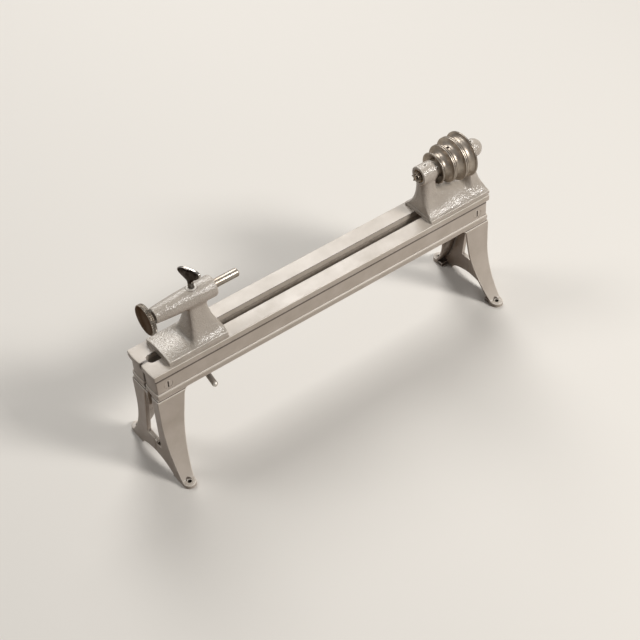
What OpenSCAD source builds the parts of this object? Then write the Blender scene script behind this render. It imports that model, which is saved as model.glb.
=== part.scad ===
// Small wood-turning bench lathe: a bed of two bolted castings on four splayed
// legs, a headstock with a stepped cone pulley and a sliding tailstock.
// +X runs along the bed towards the headstock, -Y is the turner's side, +Z is up.
// The origin is on the bench, in the middle of the four foot holes.

/* [Bed] */
// Length of the bed over its flanges
bed_len = 457.2; // [420:0.2:520]
// Width of the bed over its flanges
bed_w = 53.4; // [51:0.2:60]
// Height of the ways above the bench
bed_h = 147.5; // [140:0.5:165]
// Width of the slot between the two ways
slot_w = 12.4; // [11:0.2:15]
// Bed metal left between the end of the slot and the end of the bed
slot_end_wall = 9.1; // [6:0.1:10]
// Thickness of the flange that forms each way
flange_t = 7.3; // [5:0.1:9]
// How far the flange overhangs the outer face of the web
flange_over = 2.3; // [1.5:0.1:3]
// How far the flange overhangs the inner face of the web
flange_lip = 2; // [1:0.1:3]
// Height of the whole rail, from the way down to its underside
rail_h = 37; // [34:0.5:40]
// Height of the bead along the bottom of the rail
bead_h = 8; // [5:0.5:10]
// How far the bead stands out from the web
bead_proud = 0.8; // [0.4:0.1:1.2]
// Chamfer along the edges of the flange and the bead
rail_chamfer = 0.7; // [0.3:0.1:1]
// How far the bulged end of each half stands out in its middle
end_bulge = 1.1; // [0.6:0.1:1.6]
// Depth of the V notch where the two halves meet at the ends
seam_notch = 1.6; // [0.8:0.1:2.4]
// Gap in the seam between the two halves
seam_gap = 0.3; // [0.1:0.05:0.4]

/* [Legs] */
// Thickness of the plate on the front of a leg
leg_plate_t = 3.2; // [2.4:0.1:4.5]
// Thickness of the web across the end of the bed
leg_web_t = 5.6; // [4.4:0.1:7]
// How far the leg stands out from the bead above it
leg_proud = 0.6; // [0.2:0.1:1]
// Width of the leg plate at the rail, along X
leg_top_w = 34.4; // [30:0.2:40]
// Width of the leg plate at the bench, along X
leg_foot_w = 15.2; // [14.6:0.2:18]
// Height at which the leg starts to curve out
leg_curve_z = 78; // [70:1:85]
// Radius of the outward curve of the leg
leg_curve_r = 118; // [110:1:130]
// Half the width of the A-shaped opening just above the stretcher
arch_half = 13.8; // [10:0.2:16]
// Height of the top edge of the stretcher
stretcher_z = 33; // [28:0.5:38]
// Height of the crown of the arch under the stretcher
crown_z = 11.5; // [8:0.5:15]
// Radius of the arch under the stretcher
crown_r = 60; // [50:1:80]
// Distance from the centre line to the inner corner of a foot
foot_inner = 31; // [28:0.5:36]

/* [Feet] */
// Distance from the end of the bed back to a foot hole
foot_hole_in = 7.8; // [7.4:0.1:8.4]
// Distance of a foot hole outside the edge of the bed
foot_hole_out = 26.3; // [24.5:0.1:29]
// Diameter of a foot hole
foot_hole_d = 4.76; // [3:0.02:6]
// Thickness of a foot pad
pad_t = 5; // [3.5:0.5:7]
// Radius of the round end of a foot pad
pad_r = 7.6; // [6.5:0.1:8.5]
// Radius of the screwdriver clearance above a foot hole
scoop_r = 4.4; // [3.5:0.1:5.5]

/* [Fasteners] */
// Distance from each end of the bed to the screw that holds its halves together
end_screw_in = 17.1; // [14:0.1:22]
// Height of these screws below the ways
end_screw_drop = 20.7; // [17:0.1:24]
// Diameter of the shank of a bed end screw
end_screw_d = 6.35; // [4.5:0.05:7]
// Diameter of the head of a bed end screw
end_screw_head_d = 10.4; // [9:0.1:12]
// Thickness of the head of a bed end screw
end_screw_head_t = 3.5; // [2:0.1:5]
// Diameter of the bosses that the bed end screws pass through
end_boss_d = 14; // [13:0.5:16]
// Diameter of the shank of a stretcher screw
stretcher_screw_d = 2.8; // [2:0.1:3]
// Length of a stretcher screw below its head
stretcher_screw_len = 15; // [12:0.5:17]
// Distance from the seam to the seat of a stretcher screw
stretcher_seat = 5; // [4:0.1:6]
// Diameter of the head of a stretcher screw
stretcher_head_d = 4.2; // [3.8:0.1:4.4]
// Thickness of the head of a stretcher screw
stretcher_head_t = 2.6; // [1.6:0.1:3]
// Diameter of the two hold-down studs
stud_d = 7.94; // [6:0.02:9]
// Width of a screwdriver slot
driver_slot_w = 1.3; // [0.8:0.1:1.6]

/* [Centre line] */
// Height of the centre line above the ways
swing = 54.2; // [53:0.1:62]
// How far the outer end of the headstock base stands out past the end of the bed
head_over = 0.9; // [0:0.1:2]
// Distance from the other end of the bed to the outer end of the tailstock
tail_in = 23; // [20:0.1:60]

/* [Headstock] */
// Length of the headstock base
head_len = 85.2; // [84:0.1:96]
// Width of both bases across the bed
base_w = 46.8; // [42:0.2:50]
// Thickness of both bases at their edges
base_edge_t = 5.6; // [4:0.1:7]
// Height of the crest of the saddle above the ways, next to the inner column
saddle_h1 = 29.2; // [24:0.1:30]
// Height of the crest of the saddle above the ways, next to the outer column
saddle_h2 = 15.8; // [12:0.1:20]
// Distance from the inner end of the headstock to the saddle
saddle_in = 12; // [8:0.5:14]
// Distance from the outer end of the headstock to the saddle
saddle_out = 6; // [4:0.5:10]
// Length along the bed of the flared foot of the inner column
inner_foot_len = 42; // [30:0.5:50]
// How far the flared foot of the outer column reaches in from the column
outer_foot_in = 14; // [8:0.5:20]
// Width across the waist of each bearing column
column_w = 19.4; // [17:0.2:21]
// Length of the inner bearing boss
inner_boss_len = 20; // [18:0.1:23]
// Diameter of the inner bearing boss
inner_boss_d = 22.8; // [21:0.1:24]
// Diameter of the outer bearing boss
outer_boss_d = 21.6; // [20:0.1:23]
// Distance by which the domed end of the outer boss overhangs the base
outer_boss_over = 4.7; // [3.5:0.1:7]
// Length of the outer column along the bed, at its waist
outer_column_len = 13.4; // [11:0.1:14]
// Diameter of the oil holes
oil_hole_d = 2.5; // [1.5:0.1:3]
// Distance from the inner end of the headstock to the first oil hole
oil_in = 9.2; // [6:0.1:14]
// Distance from the inner face of the outer boss to the second oil hole
oil_out = 9.5; // [6:0.1:11]

/* [Spindle] */
// Diameter of the spindle in the inner bearing and the pulley
spindle_d = 12; // [10:0.1:12.6]
// Diameter of the spindle in the outer bearing
spindle_tail_d = 10; // [8:0.1:10.4]
// Length of the outer bearing
outer_bearing_len = 15; // [12:0.5:16]
// Wall of the bearing bushes
bush_wall = 2; // [1.5:0.1:2.4]
// Radial running clearance of shafts in their bearings
run_clear = 0.05; // [0.02:0.01:0.08]
// How far the spindle nose stands out of the inner boss
nose_out = 1.6; // [1:0.1:3]
// Thickness of the collar of the spur centre
spur_collar_t = 1.6; // [1:0.1:2.5]
// Diameter of the thrust button behind the spindle
button_d = 8; // [6:0.1:9]
// Thickness of the thrust button
button_t = 2.5; // [1.5:0.1:3]
// Diameter of the shank of the spur centre
spur_shank_d = 7; // [5.5:0.1:8]
// Length of the shank of the spur centre
spur_shank_len = 26; // [18:0.5:30]
// Diameter over the wings of the spur centre
spur_d = 9.2; // [8.2:0.1:11]
// Height of the wings of the spur centre
spur_wing_h = 2.6; // [2:0.1:4]
// Thickness of a wing of the spur centre
spur_wing_t = 1.3; // [0.8:0.1:2]
// How far the point of the spur centre stands out past its wings
spur_point_h = 1.6; // [1:0.1:3]

/* [Cone pulley] */
// Side play of the pulley next to the inner boss
pulley_play = 1.2; // [0.6:0.1:2]
// Gap between the pulley and the outer boss
pulley_gap = 2.2; // [1.8:0.1:3]
// Length of the cone pulley
pulley_len = 42.6; // [41:0.1:43.4]
// Diameter of the smallest rim
pulley_d1 = 37.4; // [34:0.2:40]
// Diameter of the second rim
pulley_d2 = 45.4; // [43:0.2:48]
// Diameter of the third rim
pulley_d3 = 52.4; // [51:0.2:53.6]
// Diameter of the largest rim
pulley_d4 = 54.2; // [54:0.2:58]
// Width of the lands of the first and the last rim
end_rim_w = 1.8; // [1.2:0.1:2.4]
// Width of the lands of the two rims between them
rim_w = 3.6; // [2.6:0.1:4.2]
// Depth of a belt groove below the smaller of its two rims
groove_depth = 4.4; // [3:0.1:5]
// Share of a belt groove's width at which it is deepest
groove_low = 0.42; // [0.35:0.01:0.6]
// Depth of the hollow in each face of the pulley, at the hub
dish_depth = 4; // [2:0.1:5]
// Flat left between the hollow and the rim on each face
dish_wall = 1.8; // [1:0.1:3]
// Diameter of the hub inside the hollow faces
hub_d = 19; // [17:0.2:21]
// Diameter of the pulley set screw
set_screw_d = 4.2; // [3:0.1:5]
// How deep the set screw lies below the floor of its groove
set_screw_sink = 0.7; // [0.3:0.1:1.5]

/* [Tailstock] */
// Length of the tailstock base
tail_len = 72; // [66:0.5:80]
// Height of the crown of the tailstock base above its edges
base_crown = 2.9; // [1.5:0.1:4]
// Distance from the outer end of the base to the outer end of the barrel
barrel_set = 3.1; // [1:0.1:6]
// Length of the barrel
barrel_len = 72; // [66:0.5:76]
// Diameter of the barrel at the handwheel
barrel_d1 = 17.4; // [16.4:0.1:19]
// Diameter of the barrel at its nose
barrel_d2 = 24.4; // [22:0.1:26]
// Extra radius of the bulged barrel half way along
barrel_bulge = 1.1; // [0.5:0.1:1.6]
// Rounding of the shoulder at the nose of the barrel
barrel_round = 2.4; // [1.5:0.1:3.5]
// Width across the tailstock pedestal, at its waist
pedestal_w = 18.4; // [16:0.2:20]
// Length of the pedestal along the bed, at its waist
pedestal_len = 27; // [23:0.5:30]
// Distance from the inner end of the base to the waist of the pedestal
pedestal_set = 6.6; // [5:0.1:10]
// Width of the tongues that guide both stocks in the slot
tongue_w = 12; // [10.6:0.1:12]
// Depth of these tongues
tongue_h = 5; // [3:0.5:6.5]
// Diameter of the boss under the thumb screw
lock_boss_d = 12; // [10.5:0.1:13]
// Height of this boss above the barrel
lock_boss_h = 1.1; // [0.6:0.1:2]

/* [Quill and handwheel] */
// Diameter of the quill
quill_d = 9.53; // [8.4:0.01:10.4]
// How far the quill stands out of the barrel
quill_out = 30.6; // [27:0.1:36]
// Length of the quill
quill_len = 68; // [64:0.5:72]
// Diameter of the feed screw
feed_d = 5.9; // [4.5:0.1:6.3]
// Length of the wall that the feed screw turns in
feed_wall = 9; // [7:0.5:10]
// Diameter of the collar on the feed screw
collar_d = 8.2; // [7.4:0.1:8.2]
// Thickness of the collar on the feed screw
collar_t = 2.4; // [1.5:0.1:3]
// Length of the screw from its collar to its end
feed_len = 50; // [46:0.5:51]
// Depth of the threaded bore in the quill
quill_bore_len = 51; // [49:0.5:54]
// Diameter of the quill key
key_d = 2.4; // [1.8:0.1:2.8]
// Depth of the keyway in the quill
keyway_depth = 1; // [0.7:0.1:1.2]
// How deep the quill key goes into the floor of the barrel
key_h = 4; // [3:0.1:4.5]
// Distance from the nose of the barrel back to the quill key
key_set = 9; // [6:0.5:12]
// Diameter of the handwheel
wheel_d = 34.8; // [30:0.2:38]
// Thickness of the handwheel
wheel_t = 5.6; // [4:0.1:7]
// Number of flutes in the knurled rim
knurl_count = 60; // [40:1:72]
// Depth of the flutes in the rim
knurl_depth = 0.35; // [0.2:0.05:0.6]
// Diameter of the neck between handwheel and barrel
neck_d = 9.6; // [8.6:0.1:12]
// Length of this neck
neck_len = 6.1; // [4.5:0.1:7]
// Diameter of the pin through this neck
wheel_pin_d = 1.6; // [1.2:0.1:2]

/* [Thumb screw] */
// Distance from the outer end of the base to the thumb screw
lock_set = 49.8; // [44:0.1:52]
// Distance from the thumb screw out to the hold-down stud
stud_set = 1.7; // [0:0.1:4]
// Diameter of the shank of the thumb screw
lock_d = 6.35; // [5:0.05:7]
// Height of the neck of the thumb screw above its boss
lock_neck_h = 9; // [7:0.5:14]
// Width of the spade of the thumb screw
spade_w = 27.6; // [22:0.2:32]
// Height of the spade of the thumb screw
spade_h = 18.6; // [15:0.2:22]
// Thickness of the spade at its foot
spade_t = 4; // [3:0.1:5]
// Angle of the spade, turned from the length of the bed
spade_angle = 115; // [0:1:180]

/* [Clamps] */
// Length of a clamp plate along the bed
plate_len = 28; // [22:0.5:30]
// Width of a clamp plate across the bed
plate_w = 38; // [30:0.5:40]
// Thickness of a clamp plate
plate_t = 6; // [4:0.2:8]
// Gap between a clamp plate and the rails
plate_gap = 0.3; // [0.1:0.1:0.5]
// Diameter of the hub of the clamp nut
nut_d = 15; // [13:0.5:18]
// Height of the hub of the clamp nut
nut_h = 8.6; // [7.6:0.2:11]
// Height of the headstock nut
hex_h = 7; // [6:0.5:9]
// How far the headstock stud stands out below its clamp plate
stud_below = 10; // [8:0.5:14]
// How far both studs are screwed up into the stocks, above the ways
stud_up = 9.5; // [8:0.5:12]
// Width across the flats of the headstock nut
hex_af = 12.7; // [11:0.1:14]
// Diameter of the clamp lever
lever_d = 5; // [4:0.1:6]
// Reach of the clamp lever from the stud
lever_reach = 35; // [31:0.5:37]
// Angle of the clamp lever from the front of the lathe
lever_angle = 7.5; // [-10:0.5:20]

/* [Hidden] */

// Small overlap with which pieces of one casting run into each other
lap = 0.5;
// Clearance of a screw or stud in its hole
hole_clear = 0.05;
// How far cutting shapes reach past what they cut
past = 1;
// Flat drop from the bead's outer edge to the end face of a leg
leg_end_proud = 1.3;
// Height left between the A-shaped opening and the rail
arch_gap = 3;
// Outline of that opening: share of its half width, share of its height
arch_points = [[1, 0], [0.29, 0.81], [0.2, 0.92], [0, 1]];
// Inner edge of a leg plate on its way down: distance in X, share of the rail's height
leg_waist = [6.4, 0.61];
leg_ankle = [9, 0.4];
// Depth of the bed end screw's slot
driver_slot_h = 1.2;
// Reach of the flared feet past the ends of the bases, where they are cut off
foot_run = 3.5;
// Exponents of the flare of the headstock and tailstock columns
head_flare = 3.6;
tail_flare = 3.2;
// Distance from the ends of the headstock base to its tongue
head_tongue = [6, 14];
// How far the saddle's flanks lie inside the flanks of the columns
saddle_side = 0.5;
$fn = 96;

axis_z = bed_h + swing;
bed_end = bed_len / 2;
rail_z = bed_h - rail_h;
flange_y = bed_w / 2;
web_y = flange_y - flange_over;
bead_y = web_y + bead_proud;
web_in = slot_w / 2 + flange_lip;
web_end = bed_end - flange_over;
bead_end = web_end + bead_proud;
leg_y = bead_y + leg_proud;
leg_end = bead_end + leg_end_proud;
slot_end = bed_end - slot_end_wall;

column_z0 = bed_h + 2;
column_top = axis_z - 4;
head_end = bed_end + head_over;
head_x = head_end - head_len;
boss2_end = head_end + outer_boss_over;
pulley_x = head_x + inner_boss_len + pulley_play;
pulley_end = pulley_x + pulley_len;
boss2_x = pulley_end + pulley_gap;
head_stud_x = head_x + head_len / 2;
bush1_d = spindle_d + 2 * run_clear + 2 * bush_wall;
bush2_d = spindle_tail_d + 2 * run_clear + 2 * bush_wall;
tail_journal_end = boss2_x + outer_bearing_len;
oil_x1 = head_x + oil_in;
oil_x2 = boss2_x + oil_out;
nose_x = head_x - nose_out;

tail_start = tail_in - bed_end;
tail_end = tail_start + tail_len;
barrel_x = tail_start + barrel_set;
barrel_end = barrel_x + barrel_len;
lock_x = tail_start + lock_set;
tail_stud_x = lock_x - stud_set;
hole_x = bed_end - foot_hole_in;
hole_y = flange_y + foot_hole_out;
end_screw_x = bed_end - end_screw_in;
end_screw_z = bed_h - end_screw_drop;
pedestal_x1 = tail_end - pedestal_set;
pedestal_x0 = pedestal_x1 - pedestal_len;
quill_tip = barrel_end + quill_out;
quill_x = quill_tip - quill_len;
bore_x = barrel_x + feed_wall;
collar_x = bore_x + 0.2;
neck_x = barrel_x - 0.3 - neck_len;
wheel_x = neck_x - wheel_t;
key_x = barrel_end - key_set;
key_z = axis_z - quill_d / 2 - key_h;
plate_z = rail_z - plate_gap - plate_t;
nut_z = plate_z - 0.1 - nut_h;

// Puts a shape that is drawn along +Z on the centre line, starting at x and running along +X
module on_axis(x) {
    translate([x, 0, axis_z]) rotate([0, 90, 0]) children();
}

// A round bar on the centre line from x0 to x1
module bar(x0, x1, d) {
    on_axis(x0) cylinder(h = x1 - x0, d = d);
}

// A block given by its lowest and its highest corner
module block(low, high) {
    translate(low) cube([for (i = [0:2]) high[i] - low[i]]);
}

// Mirrors a shape to both ends of the bed
module both_ends() {
    for (side = [0, 1]) mirror([side, 0, 0]) children();
}

// Height of a bulged edge above its chord, over the square of half its length
function arc_radius(half, rise) = (half * half + rise * rise) / (2 * rise);

// The bed, drawn for the half on the turner's side, which is at +Y until it is turned

// Section of a rail: inner edge, outer edge, bottom and top, with chamfered outer corners
module rail_bar(y0, y1, z0, z1, half_len) {
    translate([-half_len, 0, 0]) rotate([90, 0, 90])
        linear_extrude(2 * half_len)
            polygon([[y0, z0], [y1 - rail_chamfer, z0], [y1, z0 + rail_chamfer],
                     [y1, z1 - rail_chamfer], [y1 - rail_chamfer, z1], [y0, z1]]);
}

module rails() {
    flange_z = bed_h - flange_t;
    rail_bar(slot_w / 2, flange_y, flange_z, bed_h, bed_end);
    block([-web_end, web_in, rail_z], [web_end, web_y, flange_z + lap]);
    rail_bar(web_in, bead_y, rail_z, rail_z + bead_h, bead_end);
}

// The solid end of the bed, with the rounded end of the slot and the boss for the end screw
module end_block() {
    seam = seam_gap / 2;
    difference() {
        union() {
            block([slot_end - slot_w / 2, seam, bed_h - flange_t],
                  [bed_end, slot_w / 2 + lap, bed_h]);
            block([slot_end, seam, rail_z], [web_end, web_in + lap, bed_h - flange_t + lap]);
            block([slot_end, seam, rail_z], [bead_end, web_in + lap, rail_z + bead_h]);
        }
        translate([slot_end - slot_w / 2, 0, rail_z])
            cylinder(h = rail_h + lap, d = slot_w);
    }
    translate([end_screw_x, seam, end_screw_z]) rotate([-90, 0, 0])
        cylinder(h = web_in + lap - seam, d = end_boss_d);
}

// Cuts the bulged end and the V notch at the seam
module end_trim() {
    mid = flange_y / 2;
    r = arc_radius(mid, end_bulge);
    translate([0, 0, -lap]) difference() {
        block([bed_end - 3 * end_bulge, -lap, rail_z + lap],
              [bed_end + 2, flange_y + lap, bed_h + 2 * lap]);
        translate([bed_end - r, mid, 0]) cylinder(h = bed_h + 3 * lap, r = r, $fn = 180);
    }
    translate([bed_end + 1, 0, 0]) rotate([0, 0, 45])
        translate([-seam_notch - 1, -seam_notch - 1, -1] * 0.9)
            cube([2 * seam_notch, 2 * seam_notch, bed_h + 9]);
}

// The curved front plate of a leg, between two circles about one centre
module leg_plate() {
    cy = leg_y + leg_curve_r;
    inner_top = bed_end - leg_top_w;
    inner_foot = leg_end - leg_foot_w;
    intersection() {
        union() {
            block([inner_top - 5, leg_y - leg_plate_t, leg_curve_z], [leg_end, leg_y, rail_z]);
            translate([inner_top - 5, cy, leg_curve_z]) rotate([0, 90, 0]) difference() {
                cylinder(h = leg_end - inner_top + 5, r = leg_curve_r + leg_plate_t, $fn = 240);
                translate([0, 0, -1])
                    cylinder(h = leg_end - inner_top + 7, r = leg_curve_r, $fn = 240);
                translate([-leg_curve_r * 2, -leg_curve_r * 2, -1])
                    cube([leg_curve_r * 2, leg_curve_r * 4, bed_len]);
                translate([-leg_curve_r * 2, 0, -1])
                    cube([leg_curve_r * 4, leg_curve_r * 2, bed_len]);
            }
        }
        translate([0, leg_y + leg_curve_r, 0]) rotate([90, 0, 0])
            linear_extrude(leg_curve_r * 2)
                polygon([[inner_top, rail_z], [inner_top + leg_waist[0], rail_z * leg_waist[1]],
                         [inner_foot - leg_ankle[0], rail_z * leg_ankle[1]], [inner_foot, pad_t],
                         [inner_foot, 0], [leg_end, 0], [leg_end, rail_z]]);
    }
}

// Rib that runs the leg plate up into the rail
module leg_root() {
    block([bed_end - leg_top_w + 2, web_y - 4, rail_z - 2],
          [leg_end - 1, leg_y - leg_plate_t + lap, rail_z + lap]);
}

// The web across the end of the bed: leg, half the stretcher and the arch below it
module leg_web() {
    cy = leg_y + leg_curve_r;
    seam = seam_gap / 2;
    arch_h = rail_z - arch_gap - stretcher_z;
    toe_y = cy - sqrt(pow(leg_curve_r, 2) - pow(leg_curve_z, 2));
    difference() {
        block([leg_end - leg_web_t, seam, 0], [leg_end, toe_y, rail_z]);
        translate([leg_end - leg_web_t - 1, cy, leg_curve_z]) rotate([0, 90, 0])
            cylinder(h = leg_web_t + 2, r = leg_curve_r, $fn = 240);
        block([leg_end - leg_web_t - 1, leg_y, leg_curve_z], [leg_end + 1, cy, bed_h]);
        translate([leg_end - leg_web_t - 1, 0, 0]) rotate([90, 0, 90]) linear_extrude(leg_web_t + 2)
            polygon(concat([[-past, stretcher_z]],
                           [for (p = arch_points) [p[0] * arch_half, stretcher_z + p[1] * arch_h]],
                           [[-past, stretcher_z + arch_h]]));
        intersection() {
            translate([leg_end - leg_web_t - 1, 0, crown_z - crown_r]) rotate([0, 90, 0])
                cylinder(h = leg_web_t + 2, r = crown_r, $fn = 180);
            block([leg_end - leg_web_t - 1, -1, -1], [leg_end + 1, foot_inner, crown_z + 1]);
        }
    }
}

// The foot pad, with its screw hole and the scoop that lets a screwdriver in
module foot_pad() {
    translate([hole_x, hole_y, 0]) cylinder(h = pad_t, r = pad_r);
    block([hole_x - pad_r, hole_y - 1.8 * pad_r, 0], [leg_end, hole_y, pad_t]);
}

module foot_cuts() {
    translate([hole_x, hole_y, 0]) {
        translate([0, 0, -1]) cylinder(h = pad_t + 2, d = foot_hole_d);
        translate([0, 0, pad_t]) cylinder(h = 3 * scoop_r, r = scoop_r);
    }
}

// The pocket in the stretcher that takes the head of the screw, and the screw's hole
module stretcher_cuts(pocket) {
    translate([leg_end - stretcher_head_d / 2, 0, stretcher_z - stretcher_head_d / 2]) {
        rotate([-90, 0, 0]) translate([0, 0, -past])
            cylinder(h = stretcher_screw_len - 2, d = stretcher_screw_d + 2 * hole_clear);
        if (pocket)
            block([-stretcher_head_d / 2, stretcher_seat, -stretcher_head_d / 2],
                  [stretcher_head_d, stretcher_seat + 3 * stretcher_head_t, stretcher_head_d]);
    }
}

module bed_half(front) {
    difference() {
        union() {
            rails();
            both_ends() {
                end_block();
                leg_plate();
                leg_web();
                foot_pad();
                leg_root();
            }
        }
        both_ends() {
            end_trim();
            foot_cuts();
            stretcher_cuts(front);
            translate([end_screw_x, -1, end_screw_z]) rotate([-90, 0, 0])
                cylinder(h = flange_y, d = end_screw_d + 2 * hole_clear);
            if (front)
                translate([end_screw_x, web_y - end_screw_head_t, end_screw_z]) rotate([-90, 0, 0])
                    cylinder(h = end_screw_head_t + 1, d = end_screw_head_d + 2 * hole_clear);
        }
    }
}

module front_bed_half() {
    color("silver") mirror([0, 1, 0]) bed_half(true);
}

module rear_bed_half() {
    color("silver") bed_half(false);
}

// Slotted screws through the front web, into the rear rail
module bed_end_screws() {
    color("silver") for (side = [-1, 1])
        translate([side * end_screw_x, -web_y, end_screw_z]) rotate([-90, 0, 0]) difference() {
            union() {
                cylinder(h = end_screw_head_t, d = end_screw_head_d);
                cylinder(h = 2 * web_y - lap, d = end_screw_d);
            }
            translate([-driver_slot_w / 2, -end_screw_head_d, -1])
                cube([driver_slot_w, 2 * end_screw_head_d, 1 + driver_slot_h]);
        }
}

// Screws that draw the two halves of each stretcher together
module stretcher_screws() {
    color("lightgray") for (side = [-1, 1])
        translate([side * (leg_end - stretcher_head_d / 2), 0, stretcher_z - stretcher_head_d / 2])
            rotate([-90, 0, 0]) {
                translate([0, 0, -stretcher_seat - stretcher_head_t])
                    cylinder(h = stretcher_head_t, d = stretcher_head_d);
                translate([0, 0, -stretcher_seat - lap])
                    cylinder(h = stretcher_screw_len + lap, d = stretcher_screw_d);
            }
}

// A column whose foot flares out: foot and top are [x0, x1, half width],
// its corners soften from a square foot to an oval waist
function signed_power(v, p) = (v < 0 ? -1 : 1) * pow(abs(v), p);
function blend(a, b, f) = a * f + b * (1 - f);
function column_ring(foot, top, z, f, sides) =
    let (x0 = blend(foot[0], top[0], f), x1 = blend(foot[1], top[1], f),
         hw = blend(foot[2], top[2], f), p = 2 / blend(7, 2.5, f))
    [for (i = [0:sides - 1])
        let (a = 360 * (i + 0.5) / sides)
        [(x0 + x1) / 2 + (x1 - x0) / 2 * signed_power(cos(a), p), hw * signed_power(sin(a), p), z]];

module flared_column(foot, top, z0, z1, power) {
    levels = 10;
    sides = 36;
    rings = [for (k = [0:levels])
        let (t = pow(k / levels, 1.5))
        column_ring(foot, top, z0 + (z1 - z0) * t, pow(1 - t, power), sides)];
    points = [for (ring = rings) for (p = ring) p];
    bottom = [[for (i = [0:sides - 1]) i]];
    lid = [[for (i = [sides - 1:-1:0]) levels * sides + i]];
    walls = [for (k = [0:levels - 1]) for (i = [0:sides - 1])
        let (a = k * sides + i, b = k * sides + (i + 1) % sides)
        each [[a, a + sides, b], [b, a + sides, b + sides]]];
    polyhedron(points = points, faces = concat(bottom, lid, walls), convexity = 6);
}

// Guide tongue below a stock, between x0 and x1
module tongue(x0, x1) {
    block([x0, -tongue_w / 2, bed_h - tongue_h], [x1, tongue_w / 2, bed_h + lap]);
}

// Half width of the saddle's flanks at a height, just inside those of the columns
function flank_w(z) = -saddle_side
    + blend(base_w / 2, column_w / 2, pow(1 - (z - column_z0) / (column_top - column_z0), head_flare));

// Half of the saddle's section: the flank up to its rounded top
function saddle_points(x, crest) =
    [for (i = [0:10])
        let (s = pow(i / 10, 0.7), z = column_z0 + (crest - column_z0) * s)
        [x, flank_w(z) * pow(1 - pow(s, 8), 0.4), z]];

// The saddle that joins the two columns under the pulley; its crest falls with the pulley's steps
module saddle() {
    x1 = head_x + saddle_in;
    x2 = head_end - saddle_out;
    fall = (saddle_h1 - saddle_h2) / (boss2_x - head_x - inner_boss_len);
    crests = [for (x = [x1, x2]) bed_h + saddle_h1 - fall * (x - head_x - inner_boss_len)];
    rings = [for (k = [0, 1]) let (half = saddle_points([x1, x2][k], crests[k]))
        concat(half, [for (i = [9:-1:0]) [half[i][0], -half[i][1], half[i][2]]])];
    n = len(rings[0]);
    polyhedron(points = concat(rings[0], rings[1]), convexity = 4,
               faces = concat([[for (i = [0:n - 1]) i]], [[for (i = [n - 1:-1:0]) n + i]],
                              [for (i = [0:n - 1]) each [[i, n + i, (i + 1) % n],
                                                         [(i + 1) % n, n + i, n + (i + 1) % n]]]));
}

// Blind hole for a hold-down stud, up through the tongue into the stock
module stud_hole(x) {
    translate([x, 0, bed_h - tongue_h - past])
        cylinder(h = tongue_h + past + stud_up + lap, d = stud_d + 2 * hole_clear);
}

module headstock_casting() {
    color("silver") difference() {
        union() {
            block([head_x, -base_w / 2, bed_h], [head_end, base_w / 2, bed_h + base_edge_t]);
            saddle();
            intersection() {
                block([head_x, -base_w / 2, bed_h], [head_end, base_w / 2, axis_z]);
                union() {
                    flared_column([head_x - foot_run, head_x + inner_foot_len, base_w / 2],
                                  [head_x + lap, head_x + inner_boss_len - lap, column_w / 2],
                                  column_z0, column_top, head_flare);
                    flared_column([boss2_x - outer_foot_in, head_end + foot_run, base_w / 2],
                                  [boss2_x, boss2_x + outer_column_len, column_w / 2],
                                  column_z0, column_top, head_flare);
                }
            }
            bar(head_x, head_x + inner_boss_len, inner_boss_d);
            bar(boss2_x, boss2_end - outer_boss_d / 2, outer_boss_d);
            translate([boss2_end - outer_boss_d / 2, 0, axis_z]) sphere(d = outer_boss_d);
            tongue(head_x + head_tongue[0], head_end - head_tongue[1]);
        }
        bar(head_x - 1, head_x + inner_boss_len + 1, bush1_d);
        bar(boss2_x - 1, tail_journal_end, bush2_d);
        bar(tail_journal_end - 1, tail_journal_end + button_t, button_d);
        for (x = [oil_x1, oil_x2])
            translate([x, 0, axis_z]) cylinder(h = inner_boss_d, d = oil_hole_d);
        stud_hole(head_stud_x);
    }
}

// A bearing bush with its oil hole
module bush(x0, x1, outer_d, inner_d, oil_x) {
    difference() {
        bar(x0, x1, outer_d);
        bar(x0 - 1, x1 + 1, inner_d + 2 * run_clear);
        translate([oil_x, 0, axis_z]) cylinder(h = outer_d, d = oil_hole_d);
    }
}

module inner_bearing_bush() {
    color("darkgoldenrod") bush(head_x, head_x + inner_boss_len, bush1_d, spindle_d, oil_x1);
}

module outer_bearing_bush() {
    color("darkgoldenrod") bush(boss2_x, tail_journal_end, bush2_d, spindle_tail_d, oil_x2);
}

// Hardened button that takes the end thrust of the spindle
module thrust_button() {
    color("dimgray") bar(tail_journal_end, tail_journal_end + button_t, button_d);
}

module spindle() {
    color("lightgray") difference() {
        union() {
            bar(nose_x, boss2_x - 0.4, spindle_d);
            bar(boss2_x - 1, tail_journal_end - 0.3, spindle_tail_d);
        }
        bar(nose_x - 1, nose_x + spur_shank_len + 1, spur_shank_d + 2 * hole_clear);
    }
}

// Cone pulley: rims and round grooves, turned about the centre line
groove_len = (pulley_len - 2 * end_rim_w - 2 * rim_w) / 3;
function rim_width(i) = i == 0 || i == 3 ? end_rim_w : rim_w;
function rim_at(i) = i == 0 ? pulley_x : pulley_x + end_rim_w + i * groove_len + (i - 1) * rim_w;
rim_r = [pulley_d1 / 2, pulley_d2 / 2, pulley_d3 / 2, pulley_d4 / 2];
function groove_floor(i) = rim_r[i] - groove_depth;

// Outline points of the groove after rim i: a quarter turn down and a longer sweep up
function groove_points(i) =
    let (x0 = rim_at(i) + rim_width(i), x1 = rim_at(i + 1), low = groove_floor(i),
         xm = x0 + (x1 - x0) * groove_low)
    [for (k = [1:8]) let (a = 90 * k / 8)
        [x0 + (xm - x0) * (1 - cos(a)), rim_r[i] - (rim_r[i] - low) * sin(a)],
     for (k = [1:8]) let (a = 90 * k / 8)
        [xm + (x1 - xm) * sin(a), low + (rim_r[i + 1] - low) * (1 - cos(a))]];

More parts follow.
